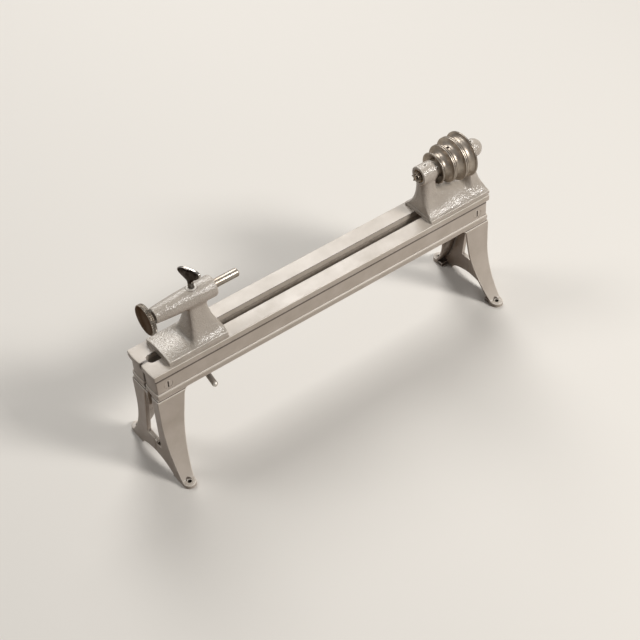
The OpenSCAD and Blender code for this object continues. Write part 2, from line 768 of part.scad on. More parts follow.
module cone_pulley() {
    bore_r = spindle_d / 2 + hole_clear;
    outline = concat([[pulley_x, bore_r], [pulley_x, hub_d / 2], [pulley_x + dish_depth, hub_d / 2 + 1],
                      [pulley_x, rim_r[0] - dish_wall]],
                     [for (i = [0:3]) each concat([[rim_at(i), rim_r[i]], [rim_at(i) + rim_width(i), rim_r[i]]],
                                                  i < 3 ? groove_points(i) : [])],
                     [[pulley_end, rim_r[3] - dish_wall], [pulley_end - dish_depth, hub_d / 2 + 3],
                      [pulley_end, hub_d / 2], [pulley_end, bore_r]]);
    color("slategray") difference() {
        translate([0, 0, axis_z]) rotate([0, 90, 0]) rotate_extrude()
            polygon([for (p = outline) [p[1], p[0]]]);
        translate([set_screw_x, 0, axis_z]) cylinder(h = pulley_d4, d = set_screw_d + 2 * hole_clear);
    }
}

set_screw_x = rim_at(1) + rim_w + groove_len * groove_low;
set_screw_top = axis_z + groove_floor(1) - set_screw_sink;

// Headless slotted screw that holds the pulley on the spindle
module pulley_set_screw() {
    foot_z = axis_z + spindle_d / 2 + 0.1;
    color("dimgray") translate([set_screw_x, 0, foot_z]) difference() {
        cylinder(h = set_screw_top - foot_z, d = set_screw_d);
        translate([-set_screw_d, -0.4, set_screw_top - foot_z - 1.2]) cube([2 * set_screw_d, 0.8, 2]);
    }
}

// Spur centre: a shank in the spindle nose, a collar, four wings and a point
module spur_centre() {
    face_x = nose_x - spur_collar_t;
    tip_x = face_x - spur_wing_h - spur_point_h;
    color("lightgray") {
        bar(face_x, nose_x + spur_shank_len, spur_shank_d);
        difference() {
            bar(face_x, nose_x, spur_d);
            bar(face_x - 1, face_x - 0.5, spur_d);
        }
        intersection() {
            bar(face_x - spur_wing_h, face_x + lap, spur_d);
            translate([face_x - spur_wing_h, 0, axis_z]) rotate([20, 0, 0]) for (turn = [0, 90])
                rotate([turn, 0, 0]) translate([0, -spur_wing_t / 2, -spur_d])
                    cube([spur_wing_h + lap, spur_wing_t, 2 * spur_d]);
        }
        on_axis(tip_x) rotate_extrude($fn = 32)
            polygon([[0, 0], [1.3, spur_point_h + 1], [1.3, spur_wing_h + spur_point_h + lap],
                     [0, spur_wing_h + spur_point_h + lap]]);
    }
}

// Barrel: a cone with a slight bulge and a rounded shoulder at the nose
function barrel_r(t) = blend(barrel_d2, barrel_d1, t) / 2 + barrel_bulge * 4 * t * (1 - t) * (1 - t * 0.3);

module barrel() {
    body = [for (k = [0:16]) let (t = k / 16) [t * (barrel_len - barrel_round), barrel_r(t)]];
    nose = [for (k = [1:6]) let (a = 90 * k / 6)
        [barrel_len - barrel_round * (1 - sin(a)), barrel_r(1) - barrel_round * (1 - cos(a))]];
    on_axis(barrel_x) rotate_extrude()
        polygon([for (p = concat([[0, 0]], body, nose, [[barrel_len, 0]])) [p[1], p[0]]]);
}

module tailstock_casting() {
    crown_base_r = arc_radius(base_w / 2, base_crown);
    edge_z = bed_h + base_edge_t;
    lock_top = axis_z + barrel_r((lock_x - barrel_x) / barrel_len) + lock_boss_h;
    color("silver") difference() {
        union() {
            intersection() {
                block([tail_start, -base_w / 2, bed_h], [tail_end, base_w / 2, edge_z + base_crown + 1]);
                translate([tail_start - 1, 0, edge_z + base_crown - crown_base_r]) rotate([0, 90, 0])
                    cylinder(h = tail_len + 2, r = crown_base_r, $fn = 240);
            }
            intersection() {
                block([tail_start, -base_w / 2, bed_h], [tail_end, base_w / 2, axis_z]);
                flared_column([pedestal_x0 - pedestal_len / 2, tail_end + 2 * foot_run, base_w / 2],
                              [pedestal_x0, pedestal_x1, pedestal_w / 2],
                              column_z0, column_top, tail_flare);
            }
            barrel();
            translate([lock_x, 0, axis_z]) cylinder(h = lock_top - axis_z, d = lock_boss_d);
            tongue(pedestal_x0 - 10, tail_end - 4);
        }
        bar(bore_x, barrel_end + 1, quill_d + 2 * run_clear);
        bar(barrel_x - 1, bore_x + 1, feed_d + 2 * run_clear);
        translate([lock_x, 0, axis_z]) cylinder(h = barrel_d2, d = lock_d + 2 * run_clear);
        translate([key_x, 0, key_z]) cylinder(h = axis_z - key_z, d = key_d + 2 * hole_clear);
        stud_hole(tail_stud_x);
    }
}

// Dowel in the floor of the barrel that keeps the quill from turning
module quill_key() {
    top = axis_z - quill_d / 2 + keyway_depth - 0.2;
    color("dimgray") translate([key_x, 0, key_z]) cylinder(h = top - key_z, d = key_d);
}

module quill() {
    color("gainsboro") difference() {
        union() {
            bar(quill_x, quill_tip - 0.6, quill_d);
            on_axis(quill_tip - 0.6) cylinder(h = 0.6, d1 = quill_d, d2 = quill_d - 1.2);
        }
        bar(quill_x - 1, quill_x + quill_bore_len, feed_d + 2 * run_clear);
        on_axis(quill_tip - 2) cylinder(h = 2.2, d1 = 0.6, d2 = 3.4);
        block([quill_x - past, -key_d / 2 - 0.1, axis_z - quill_d],
              [quill_x + quill_len - 6, key_d / 2 + 0.1, axis_z - quill_d / 2 + keyway_depth]);
    }
}

module feed_screw() {
    color("lightgray") difference() {
        union() {
            bar(wheel_x + 1.5, collar_x + feed_len, feed_d);
            bar(collar_x, collar_x + collar_t, collar_d);
        }
        wheel_pin_hole(hole_clear);
    }
}

module handwheel() {
    color("gainsboro") difference() {
        union() {
            on_axis(wheel_x) difference() {
                cylinder(h = wheel_t, d = wheel_d);
                for (i = [0:knurl_count - 1]) rotate([0, 0, 360 * i / knurl_count])
                    translate([wheel_d / 2 + knurl_depth, 0, 0.6]) rotate([0, 0, 45])
                        translate([-knurl_depth * 1.4, -knurl_depth * 1.4, 0])
                            cube([knurl_depth * 2.8, knurl_depth * 2.8, wheel_t - 1.2]);
            }
            bar(wheel_x + wheel_t - lap, neck_x + neck_len, neck_d);
        }
        bar(wheel_x + 1.5, neck_x + neck_len + 1, feed_d + 2 * hole_clear);
        wheel_pin_hole(hole_clear);
    }
}

// Place of the pin through the neck, with a clearance on its radius
module wheel_pin_hole(clear) {
    translate([neck_x + neck_len / 2, -neck_d / 2 - clear, axis_z]) rotate([-90, 0, 0])
        cylinder(h = neck_d + 2 * clear, d = wheel_pin_d + 2 * clear);
}

module handwheel_pin() {
    color("dimgray") wheel_pin_hole(0);
}

// Oval spade outline of the thumb screw, with a waist where it meets the neck
module spade_outline() {
    translate([0, spade_h * 0.54]) intersection() {
        scale([spade_w / spade_h, 1]) circle(d = spade_h, $fn = 64);
        translate([-spade_w, -spade_h]) square([2 * spade_w, 2 * spade_h]);
    }
}

module thumb_screw() {
    barrel_top = axis_z + barrel_r((lock_x - barrel_x) / barrel_len);
    spade_z = barrel_top + lock_boss_h + lock_neck_h;
    foot_z = axis_z + quill_d / 2 + 0.35;
    color("dimgray") translate([lock_x, 0, 0]) rotate([0, 0, spade_angle]) {
        translate([0, 0, foot_z]) cylinder(h = spade_z - foot_z, d = lock_d);
        translate([0, 0, spade_z - 1]) cylinder(h = 7, d1 = lock_d, d2 = spade_t);
        intersection() {
            translate([0, spade_t / 2, spade_z]) rotate([90, 0, 0]) linear_extrude(spade_t) spade_outline();
            translate([0, 0, spade_z - 0.5]) rotate([90, 0, 90]) translate([0, 0, -spade_w])
                linear_extrude(2 * spade_w)
                    polygon([[-spade_t / 2, 0], [spade_t / 2, 0], [spade_t * 0.3, spade_h + 2],
                             [-spade_t * 0.3, spade_h + 2]]);
        }
    }
}

// A hold-down stud, screwed up into the stock above it
module stud(x, low) {
    translate([x, 0, low]) cylinder(h = bed_h + stud_up - low, d = stud_d);
}

module tailstock_stud() {
    color("lightgray") stud(tail_stud_x, nut_z - 2);
}

module headstock_stud() {
    color("lightgray") stud(head_stud_x, plate_z - stud_below);
}

// A clamp plate that bridges the two rails from below
module clamp_plate(x) {
    difference() {
        block([x - plate_len / 2, -plate_w / 2, plate_z],
              [x + plate_len / 2, plate_w / 2, plate_z + plate_t]);
        translate([x, 0, plate_z - 1]) cylinder(h = plate_t + 2, d = stud_d + 0.4);
    }
}

module tailstock_clamp_plate() {
    color("gray") clamp_plate(tail_stud_x);
}

module headstock_clamp_plate() {
    color("gray") clamp_plate(head_stud_x);
}

module headstock_nut() {
    color("gray") translate([head_stud_x, 0, plate_z - 0.1 - hex_h]) difference() {
        cylinder(h = hex_h, d = hex_af / cos(30), $fn = 6);
        translate([0, 0, -1]) cylinder(h = hex_h + 2, d = stud_d + 2 * hole_clear);
    }
}

// Round nut on the tailstock stud; the lever is screwed into its side
module clamp_nut() {
    color("dimgray") difference() {
        translate([tail_stud_x, 0, nut_z]) difference() {
            cylinder(h = nut_h, d = nut_d);
            translate([0, 0, -1]) cylinder(h = nut_h + 2, d = stud_d + 2 * run_clear);
        }
        lever_rod(hole_clear);
    }
}

module lever_rod(clear) {
    start = stud_d / 2 + 1;
    round_r = lever_d / 2;
    translate([tail_stud_x, 0, nut_z + nut_h / 2]) rotate([0, 0, -lever_angle]) rotate([90, 0, 0])
        translate([0, 0, start]) {
            cylinder(h = lever_reach - start - round_r, d = lever_d + 2 * clear);
            translate([0, 0, lever_reach - start - round_r]) sphere(r = round_r + clear);
        }
}

module clamp_lever() {
    color("lightgray") lever_rod(0);
}

front_bed_half();
rear_bed_half();
bed_end_screws();
stretcher_screws();
headstock_casting();
inner_bearing_bush();
outer_bearing_bush();
thrust_button();
headstock_stud();
headstock_clamp_plate();
headstock_nut();
spindle();
cone_pulley();
pulley_set_screw();
spur_centre();
tailstock_casting();
quill_key();
tailstock_stud();
tailstock_clamp_plate();
quill();
feed_screw();
handwheel();
handwheel_pin();
thumb_screw();
clamp_nut();
clamp_lever();
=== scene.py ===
"""Visual model of a small wood-turning bench lathe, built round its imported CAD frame.

Sizes are in millimetres in the part's own frame: +X runs along the bed towards the
headstock, -Y is the turner's side and +Z is up. Meshes are written in metres.
"""

import logging
from dataclasses import dataclass
from enum import Enum
from functools import partial
from typing import Callable, Sequence

import bpy
import bmesh
import numpy as np
from mathutils import Matrix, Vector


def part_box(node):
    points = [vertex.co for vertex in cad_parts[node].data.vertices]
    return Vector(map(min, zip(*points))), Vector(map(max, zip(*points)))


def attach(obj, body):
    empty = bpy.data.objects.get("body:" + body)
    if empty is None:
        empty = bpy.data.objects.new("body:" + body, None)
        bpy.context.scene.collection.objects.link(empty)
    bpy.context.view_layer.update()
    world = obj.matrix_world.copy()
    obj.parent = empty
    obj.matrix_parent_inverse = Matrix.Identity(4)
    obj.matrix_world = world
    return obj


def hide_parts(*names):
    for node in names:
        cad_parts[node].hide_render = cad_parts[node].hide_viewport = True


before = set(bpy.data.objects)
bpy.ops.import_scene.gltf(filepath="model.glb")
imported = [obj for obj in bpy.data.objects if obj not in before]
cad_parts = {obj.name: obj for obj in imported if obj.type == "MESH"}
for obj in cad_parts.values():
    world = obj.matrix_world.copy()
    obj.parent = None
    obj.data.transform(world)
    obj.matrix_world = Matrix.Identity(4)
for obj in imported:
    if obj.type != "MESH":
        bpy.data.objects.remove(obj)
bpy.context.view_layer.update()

Array = np.ndarray
Field = Callable[[Array, Array, Array], Array]
Corner = Sequence[float]
Colour = tuple[int, int, int]
Piece = bpy.types.Object
Material = bpy.types.Material
Tree = bpy.types.NodeTree
Node = bpy.types.Node
Socket = bpy.types.NodeSocket

MM = 0.001  # metres in a millimetre
CELL = 0.55  # side of the cells that the castings are drawn with
WAY_Z = 147.5  # height of the bed's top
AXIS_Z = 201.7  # height of the centre line
BED_END = 228.6  # from the middle of the bed to its end
CENTRE_LINE = (0.0, 0.0, AXIS_Z)
EDGE = 0.5  # rounding of a plain cast edge and of a bore's rim
CRISP = 0.1  # rounding where a bore ends inside a casting
SOLE = 0.02  # how far a casting stands off the bed's top
SAME_PLACE = 2e-7  # metres within which two points of a mesh become one

logging.basicConfig(level=logging.INFO, format="%(levelname)s %(name)s: %(message)s")
log = logging.getLogger("lathe")


class Axis(Enum):
    """The way in which a turned piece points: along the centre line, or upright."""

    CENTRE = "x"
    UPRIGHT = "z"


def join(a: Array, b: Array, k: float) -> Array:
    """Union of two distances, with a hollow fillet about k wide where they meet.

    The lower of the two, less a quarter of k times the square of how near they are to
    each other, as a share of k.

    Args:
        a: Distance to the first shape.
        b: Distance to the second shape.
        k: Width of the fillet.

    Returns:
        Distance to the two shapes together.
    """
    near = np.maximum(k - np.abs(a - b), 0.0) / k
    return np.minimum(a, b) - near * near * k / 4


def meet(a: Array, b: Array, k: float) -> Array:
    """What two distances share, with its edge rounded by about k."""
    return -join(-a, -b, k)


def carve(a: Array, b: Array, k: float) -> Array:
    """What is left of a when b is taken away, with the rim rounded by about k."""
    return -join(-a, b, k)


def slab(v: Array, low: float, high: float) -> Array:
    """Distance to the space between two parallel planes."""
    return np.maximum(low - v, v - high)


def block(x: Array, y: Array, z: Array, low: Corner, high: Corner, k: float) -> Array:
    """A box between two corners, with edges rounded by about k."""
    side = meet(slab(x, low[0], high[0]), slab(y, low[1], high[1]), k)
    return meet(side, slab(z, low[2], high[2]), k)


def blend(a: float, b: float, share: Array) -> Array:
    """The first value where the share is 1 and the second where it is 0."""
    return a * share + b * (1 - share)


def flared_column(x: Array, y: Array, z: Array, foot: Corner, top: Corner, power: float) -> Array:
    """A column that flares out to its foot.

    Its level section is a superellipse. A share that falls from 1 at the foot to 0 at the
    top, as a power of the height left, blends its ends, its half width and its exponent,
    which goes from nearly square to an oval.

    Args:
        x, y, z: Places in millimetres.
        foot: Lowest x, highest x and half width at the foot.
        top: The same at the top.
        power: How fast the flare dies out.

    Returns:
        The distance to its skin, below zero inside.
    """
    square, oval, squareness = 8.0, 2.7, 0.35
    low, high = WAY_Z + 2.0, AXIS_Z - 4.0
    share = np.power(np.clip((high - z) / (high - low), 0.0, 1.0), power)
    x0, x1 = blend(foot[0], top[0], share), blend(foot[1], top[1], share)
    half_x, half_y = (x1 - x0) / 2, blend(foot[2], top[2], share)
    p = blend(square, oval, np.power(share, squareness))
    a, b = np.abs(x - (x0 + x1) / 2) / half_x, np.abs(y) / half_y
    largest = np.maximum(np.maximum(a, b), 1e-6)
    ring = largest * np.power((a / largest) ** p + (b / largest) ** p, 1 / p)
    return (ring - 1) * np.minimum(half_x, half_y)


def write_mesh(
    name: str,
    points: Array,
    faces: Sequence[Array],
    sharp_angle: float = 40.0,
    masks: dict[str, Array] | None = None,
) -> Piece:
    """Puts points and faces into a new mesh object at the origin, with its faces outwards.

    The volume under the faces, a sum of triple products, says which way they point.

    Args:
        name: Name of the piece.
        points: Places in millimetres, one row each.
        faces: Arrays of vertex numbers, each array with faces of one count.
        sharp_angle: Edges that turn by more than this, in degrees, shade sharp.
        masks: Values for each point, kept under their names for the materials.

    Returns:
        The linked object.
    """
    volume = 0.0
    for group in faces:
        corner = points[group]
        for i in range(1, group.shape[1] - 1):
            across = np.cross(corner[:, i], corner[:, i + 1])
            volume += np.einsum("ij,ij->", corner[:, 0], across)
    groups = [g[:, ::-1] if volume < 0 else g for g in faces]
    mesh = bpy.data.meshes.new(name)
    mesh.vertices.add(len(points))
    mesh.vertices.foreach_set("co", (points * MM).astype(np.float32).ravel())
    loops = np.concatenate([g.ravel() for g in groups]).astype(np.int32)
    sizes = np.concatenate([np.full(len(g), g.shape[1]) for g in groups])
    starts = np.concatenate([[0], np.cumsum(sizes)[:-1]]).astype(np.int32)
    mesh.loops.add(len(loops))
    mesh.loops.foreach_set("vertex_index", loops)
    mesh.polygons.add(len(sizes))
    mesh.polygons.foreach_set("loop_start", starts)
    mesh.update(calc_edges=True)
    mesh.validate()
    for key, values in (masks or {}).items():
        layer = mesh.attributes.new(key, "FLOAT", "POINT")
        layer.data.foreach_set("value", values.astype(np.float32).ravel())
    work = bmesh.new()
    work.from_mesh(mesh)
    bmesh.ops.remove_doubles(work, verts=work.verts, dist=SAME_PLACE)
    bmesh.ops.dissolve_degenerate(work, edges=work.edges, dist=SAME_PLACE / 2)
    work.to_mesh(mesh)
    work.free()
    mesh.shade_smooth()
    mesh.set_sharp_from_angle(angle=np.radians(sharp_angle))
    piece = bpy.data.objects.new(name, mesh)
    bpy.context.scene.collection.objects.link(piece)
    return piece


def line_bend(points: Array, reach: float = 0.5) -> Array:
    """How convex a line is at its points, from -1 in a hollow to 1 on an edge.

    The turn at each point, over the mean length of the legs beside it, times a reach in
    millimetres. A line that runs clockwise has its sign turned round.

    Args:
        points: The line, taken as closed.
        reach: Length over which a full turn counts as 1.

    Returns:
        One value for each point.
    """
    back, on = points - np.roll(points, 1, 0), np.roll(points, -1, 0) - points
    cross = back[:, 0] * on[:, 1] - back[:, 1] * on[:, 0]
    turn = np.arctan2(cross, (back * on).sum(1))
    length = (np.linalg.norm(back, axis=1) + np.linalg.norm(on, axis=1)) / 2 + 0.02
    after = np.roll(points, -1, 0)
    whole = (points[:, 0] * after[:, 1] - after[:, 0] * points[:, 1]).sum()
    return np.clip(np.sign(whole) * turn / length * reach, -1, 1)


def braced(points: Array, gap: float = 0.45) -> Array:
    """Adds points close to both ends of a line's long legs, so that masks end there.

    Args:
        points: The line.
        gap: How far the new points lie from the ends.

    Returns:
        The line with its new points.
    """
    on = np.roll(points, -1, 0) - points
    length = np.linalg.norm(on, axis=1)
    on[-1], length[-1] = 0.0, 0.0
    long = length > 3 * gap
    step = on / np.maximum(length, 1e-9)[:, None] * gap
    rows = np.stack([points, points + step, np.roll(points, -1, 0) - step], 1)
    keep = np.stack([np.ones(len(points), bool), long, long], 1)
    return rows[keep]


def field_bend(field: Field, points: Array, span: float = 0.7) -> Array:
    """How convex a field's skin is: the sum of its second differences over a span.

    Args:
        field: Distance in millimetres.
        points: Places on the skin.
        span: Length of the steps.

    Returns:
        One value for each point, from -1 in a hollow to 1 on an edge.
    """
    steps = np.eye(3) * span
    around = sum(field(*(points + step).T) + field(*(points - step).T) for step in steps)
    return np.clip((around - 6 * field(*points.T)) / span, -1, 1)


def grid_faces(rows: int, cols: int, wrap_rows: bool = False, wrap_cols: bool = False) -> Array:
    """Quads of a grid of points, joined back to its start along a wrapped direction.

    Args:
        rows: Rows of points.
        cols: Points in a row.
        wrap_rows: Whether the last row joins the first.
        wrap_cols: Whether each row is a ring.

    Returns:
        Four vertex numbers for each quad.
    """
    starts = np.arange(rows - (not wrap_rows)), np.arange(cols - (not wrap_cols))
    i, j = np.meshgrid(*starts, indexing="ij")
    up, across = (i + 1) % rows, (j + 1) % cols
    quads = [i * cols + j, up * cols + j, up * cols + across, i * cols + across]
    return np.stack(quads, -1).reshape(-1, 4)


def soften(points: Array, radii: Array, steps: int = 5, closed: bool = False) -> Array:
    """Rounds the corners of a line or of a stack of lines, each with its own radius.

    Each corner becomes an arc that leaves its two legs at the radius times the tangent of
    half the turn, and swings between them as the weighted sum of its two end spokes.

    Args:
        points: Corners, with the last two directions being corner and coordinate.
        radii: Radius for each corner.
        steps: Points on each arc.
        closed: Whether the line returns to its first corner.

    Returns:
        The points of the rounded lines.
    """
    points = np.asarray(points, float)
    before, after = np.roll(points, 1, -2), np.roll(points, -1, -2)
    radii = np.broadcast_to(np.asarray(radii, float), points.shape[:-1]).copy()
    if not closed:
        radii[..., 0] = radii[..., -1] = 0.0
    back, on = points - before, after - points
    back_len = np.linalg.norm(back, axis=-1) + 1e-12
    on_len = np.linalg.norm(on, axis=-1) + 1e-12
    d1, d2 = back / back_len[..., None], on / on_len[..., None]
    turn = np.arccos(np.clip((d1 * d2).sum(-1), -0.9999, 1.0))
    reach = np.minimum(radii * np.tan(turn / 2), 0.49 * np.minimum(back_len, on_len))
    radius = reach / np.maximum(np.tan(turn / 2), 1e-9)
    start, end = points - d1 * reach[..., None], points + d2 * reach[..., None]
    inward = d2 - d1
    inward = inward / (np.linalg.norm(inward, axis=-1, keepdims=True) + 1e-12)
    centre = points + inward * (radius / np.cos(turn / 2))[..., None]
    s = np.linspace(0, 1, steps)[:, None]
    angle = turn[..., None, None]
    leaving = np.sin((1 - s) * angle) * (start - centre)[..., None, :]
    arriving = np.sin(s * angle) * (end - centre)[..., None, :]
    arc = centre[..., None, :] + (leaving + arriving) / np.maximum(np.sin(angle), 1e-9)
    straight = (1 - s) * start[..., None, :] + s * end[..., None, :]
    arc = np.where((angle < 1e-3) | (reach[..., None, None] < 1e-9), straight, arc)
    return arc.reshape(*points.shape[:-2], -1, 2)


def rounded(corners: Sequence[Corner], steps: int = 5, closed: bool = False) -> Array:
    """A line through corners that are given as two coordinates and a radius each."""
    table = np.array(corners, float)
    return soften(table[:, :2], table[:, 2], steps, closed)


def place(along: Array, across: Array, up: Array, origin: Corner, axis: Axis) -> Array:
    """Points of a turned piece: along its axis, and two directions square to it."""
    order = (along, across, up) if axis is Axis.CENTRE else (across, up, along)
    return np.stack([v + o for v, o in zip(order, origin)], -1).reshape(-1, 3)


def turned(
    name: str,
    profile: Array,
    origin: Corner = CENTRE_LINE,
    axis: Axis = Axis.CENTRE,
    sides: int = 128,
    closed: bool = False,
) -> Piece:
    """A turned piece: a profile of places along the axis and radii, carried round the axis.

    Args:
        name: Name of the piece.
        profile: Rows of distance along the axis and radius, in millimetres.
        origin: Where the axis starts.
        axis: Which way it points.
        sides: Steps round the axis.
        closed: Whether the profile returns to its start, as round a bore.

    Returns:
        The linked object.
    """
    profile = braced(profile)
    angle = np.linspace(0, 2 * np.pi, sides, endpoint=False)
    along = np.broadcast_to(profile[:, :1], (len(profile), sides))
    across, up = profile[:, 1:] * np.cos(angle), profile[:, 1:] * np.sin(angle)
    points = place(along, across, up, origin, axis)
    bend = np.repeat(line_bend(profile), sides)
    quads = grid_faces(len(profile), sides, closed, True)
    return write_mesh(name, points, [quads], masks={"edge": bend})


def bar_profile(x0: float, x1: float, r: float, chamfer: float = 0.5, bore: float = 0.0) -> Array:
    """Profile of a round bar with softened ends, or of a sleeve where it has a bore.

    Args:
        x0: Where it starts.
        x1: Where it ends.
        r: Its radius.
        chamfer: Length of the bevel at each end.
        bore: Radius of its bore.

    Returns:
        Rows of distance along the axis and radius.
    """
    round_r = chamfer * 0.6
    return rounded(
        [
            [x0, bore, 0], [x0, r - chamfer, round_r], [x0 + chamfer, r, round_r],
            [x1 - chamfer, r, round_r], [x1, r - chamfer, round_r], [x1, bore, 0],
        ],
        closed=bore > 0,
    )


def slide(field: Field, points: Array, reach: float = 0.03) -> Array:
    """How far each point is from the skin: the field over its slope squared, times the slope.

    Args:
        field: Distance in millimetres.
        points: Places near the skin.
        reach: Length over which the slope is taken.

    Returns:
        What to take from each point to bring it onto the skin.
    """
    here = field(*points.T)
    offsets = np.eye(3) * reach
    rise = np.stack([field(*(points + o).T) - field(*(points - o).T) for o in offsets], -1)
    slope = rise / (2 * reach)
    step = here[:, None] * slope / np.maximum((slope**2).sum(-1, keepdims=True), 0.05)
    return np.clip(step, -0.4, 0.4)


def surface_net(field: Field, low: Corner, high: Corner) -> tuple[Array, Array]:
    """The skin where a distance field is zero, as quads.

    Every cell of a cubic grid that the skin passes through gets one point, at the mean of
    the places where it crosses the cell's sides. Every grid line that crosses the skin gets
    one quad, through the four cells round it. The points then slide onto the skin along the
    field's slope.

    Args:
        field: Distance in millimetres, below zero inside.
        low: Lowest corner of the grid.
        high: Highest corner of the grid.

    Returns:
        Points and quads.
    """
    axes = [np.arange(a, b + CELL, CELL) for a, b in zip(low, high)]
    value = field(*np.meshgrid(*axes, indexing="ij"))
    inside = value < 0
    cells = tuple(n - 1 for n in value.shape)
    total, count = np.zeros(cells + (3,)), np.zeros(cells)
    crossings = []
    for axis in range(3):
        a, b = np.moveaxis(value, axis, 0)[:-1], np.moveaxis(value, axis, 0)[1:]
        hit = np.moveaxis(inside, axis, 0)[:-1] != np.moveaxis(inside, axis, 0)[1:]
        share = np.moveaxis(np.where(hit, a / np.where(hit, a - b, 1.0), 0.0), 0, axis)
        hit = np.moveaxis(hit, 0, axis)
        index = np.meshgrid(*[np.arange(n) for n in hit.shape], indexing="ij")
        crossed = np.stack(index, -1).astype(float)
        crossed[..., axis] += share
        crossed *= hit[..., None]
        others = [d for d in range(3) if d != axis]
        for du in (0, 1):
            for dv in (0, 1):
                cut = [slice(None)] * 3
                cut[others[0]] = slice(du, du + cells[others[0]])
                cut[others[1]] = slice(dv, dv + cells[others[1]])
                total += crossed[tuple(cut)]
                count += hit[tuple(cut)]
        crossings.append((axis, others, hit))
    used = count > 0
    number = np.full(cells, -1)
    number[used] = np.arange(int(used.sum()))
    points = total[used] / count[used][:, None] * CELL + np.array([a[0] for a in axes])
    quads = []
    for axis, others, hit in crossings:
        at = np.stack(np.nonzero(hit), -1)
        ok = np.all([(at[:, d] > 0) & (at[:, d] < cells[d]) for d in others], axis=0)
        at = at[ok]
        corner = []
        for du, dv in ((1, 1), (0, 1), (0, 0), (1, 0)):
            cell = at.copy()
            cell[:, others[0]] -= du
            cell[:, others[1]] -= dv
            corner.append(number[tuple(cell.T)])
        quad = np.stack(corner, -1)
        flip = inside[tuple(at.T)] ^ (axis == 1)
        quads.append(np.where(flip[:, None], quad, quad[:, ::-1]))
    for _ in range(4):
        points = points - slide(field, points)
    return points, np.concatenate(quads)


def cast_piece(name: str, field: Field, low: Corner, high: Corner) -> Piece:
    """A casting: the skin of a distance field, with how convex it is kept for its edge and hollow
    masks.

    Args:
        name: Name of the piece.
        field: Distance in millimetres, below zero inside.
        low: Lowest corner of the space that it fills.
        high: Highest corner.

    Returns:
        The linked object.
    """
    points, quads = surface_net(field, low, high)
    log.info("%s: %d faces", name, len(quads))
    return write_mesh(name, points, [quads], 180.0, {"edge": field_bend(field, points)})


def cut_away(piece: Piece, cutter: Piece, sharp_angle: float) -> None:
    """Cuts one piece out of another and removes the cutter.

    Args:
        piece: What is cut.
        cutter: What is taken away from it.
        sharp_angle: Edges that turn by more than this, in degrees, then shade sharp.
    """
    modifier = piece.modifiers.new("cut", "BOOLEAN")
    modifier.operation, modifier.solver, modifier.object = "DIFFERENCE", "EXACT", cutter
    graph = bpy.context.evaluated_depsgraph_get()
    graph.update()
    fresh = bpy.data.meshes.new_from_object(piece.evaluated_get(graph))
    piece.modifiers.clear()
    piece.data = fresh
    bpy.data.objects.remove(cutter)
    piece.data.set_sharp_from_angle(angle=np.radians(sharp_angle))


def node(tree: Tree, kind: str, **values: object) -> Node:
    """Adds a shader node and sets its properties, or its inputs where a name is a socket's.

    Args:
        tree: Where the node goes.
        kind: Blender's name for it.
        values: Its properties and inputs.

    Returns:
        The node.
    """
    made = tree.nodes.new(kind)
    for key, value in values.items():
        if key in made.inputs:
            made.inputs[key].default_value = value
        else:
            setattr(made, key, value)
    return made


def feed(tree: Tree, given: object, socket: Socket) -> None:
    """Links a socket to an input, or sets the input to a plain value."""
    if isinstance(given, Socket):
        tree.links.new(given, socket)
    else:
        socket.default_value = given


def reckoned(tree: Tree, operation: str, *values: object) -> Socket:
    """Result of a Math node, each of whose inputs is a socket or a number.

    Args:
        tree: Where the node goes.
        operation: What it works out.
        values: Its inputs in order.

    Returns:
        The result.
    """
    made = node(tree, "ShaderNodeMath", operation=operation)
    for given, socket in zip(values, made.inputs):
        feed(tree, given, socket)
    return made.outputs[0]


def noise(tree: Tree, at: Socket, **values: float) -> Node:
    """A noise texture that is read at the given place.

    Args:
        tree: Where the node goes.
        at: The place.
        values: Its inputs.

    Returns:
        The node.
    """
    made = node(tree, "ShaderNodeTexNoise", **values)
    tree.links.new(at, made.inputs["Vector"])
    return made


def mixed(tree: Tree, factor: Socket, a: Socket | Corner, b: Socket | Corner) -> Socket:
    """Mix of two colours, each a socket or a linear colour.

    Args:
        tree: Where the node goes.
        factor: 0 for the first colour, 1 for the second.
        a: First colour.
        b: Second colour.

    Returns:
        The mix.
    """
    made = node(tree, "ShaderNodeMix", data_type="RGBA")
    tree.links.new(factor, made.inputs[0])
    for index, value in ((6, a), (7, b)):
        feed(tree, value if isinstance(value, Socket) else (*value, 1.0), made.inputs[index])
    return made.outputs[2]


def ranged(
    tree: Tree,
    factor: Socket,
    low: float,
    high: float,
    first: float = 0.0,
    last: float = 1.0,
    smooth: bool = False,
) -> Socket:
    """A factor taken from one range to another.

    Args:
        tree: Where the node goes.
        factor: What is taken.
        low: Result at the start of its range.
        high: Result at the end.
        first: Start of its range.
        last: End of its range.
        smooth: Whether the result eases in and out.

    Returns:
        The result, which stays between low and high.
    """
    made = tree.nodes.new("ShaderNodeMapRange")
    made.interpolation_type = "SMOOTHSTEP" if smooth else "LINEAR"
    for key, value in (("From Min", first), ("From Max", last), ("To Min", low), ("To Max", high)):
        made.inputs[key].default_value = value
    tree.links.new(factor, made.inputs["Value"])
    return made.outputs["Result"]


def linear(red: int, green: int, blue: int) -> tuple[float, float, float]:
    """Linear colour of one given as it shows on a screen, from 0 to 255.

    Args:
        red: Share of red.
        green: Share of green.
        blue: Share of blue.

    Returns:
        The colour, by the usual curve of a screen.
    """
    shown = np.array([red, green, blue]) / 255.0
    lit = np.where(shown > 0.04045, ((shown + 0.055) / 1.055) ** 2.4, shown / 12.92)
    return tuple(float(v) for v in lit)


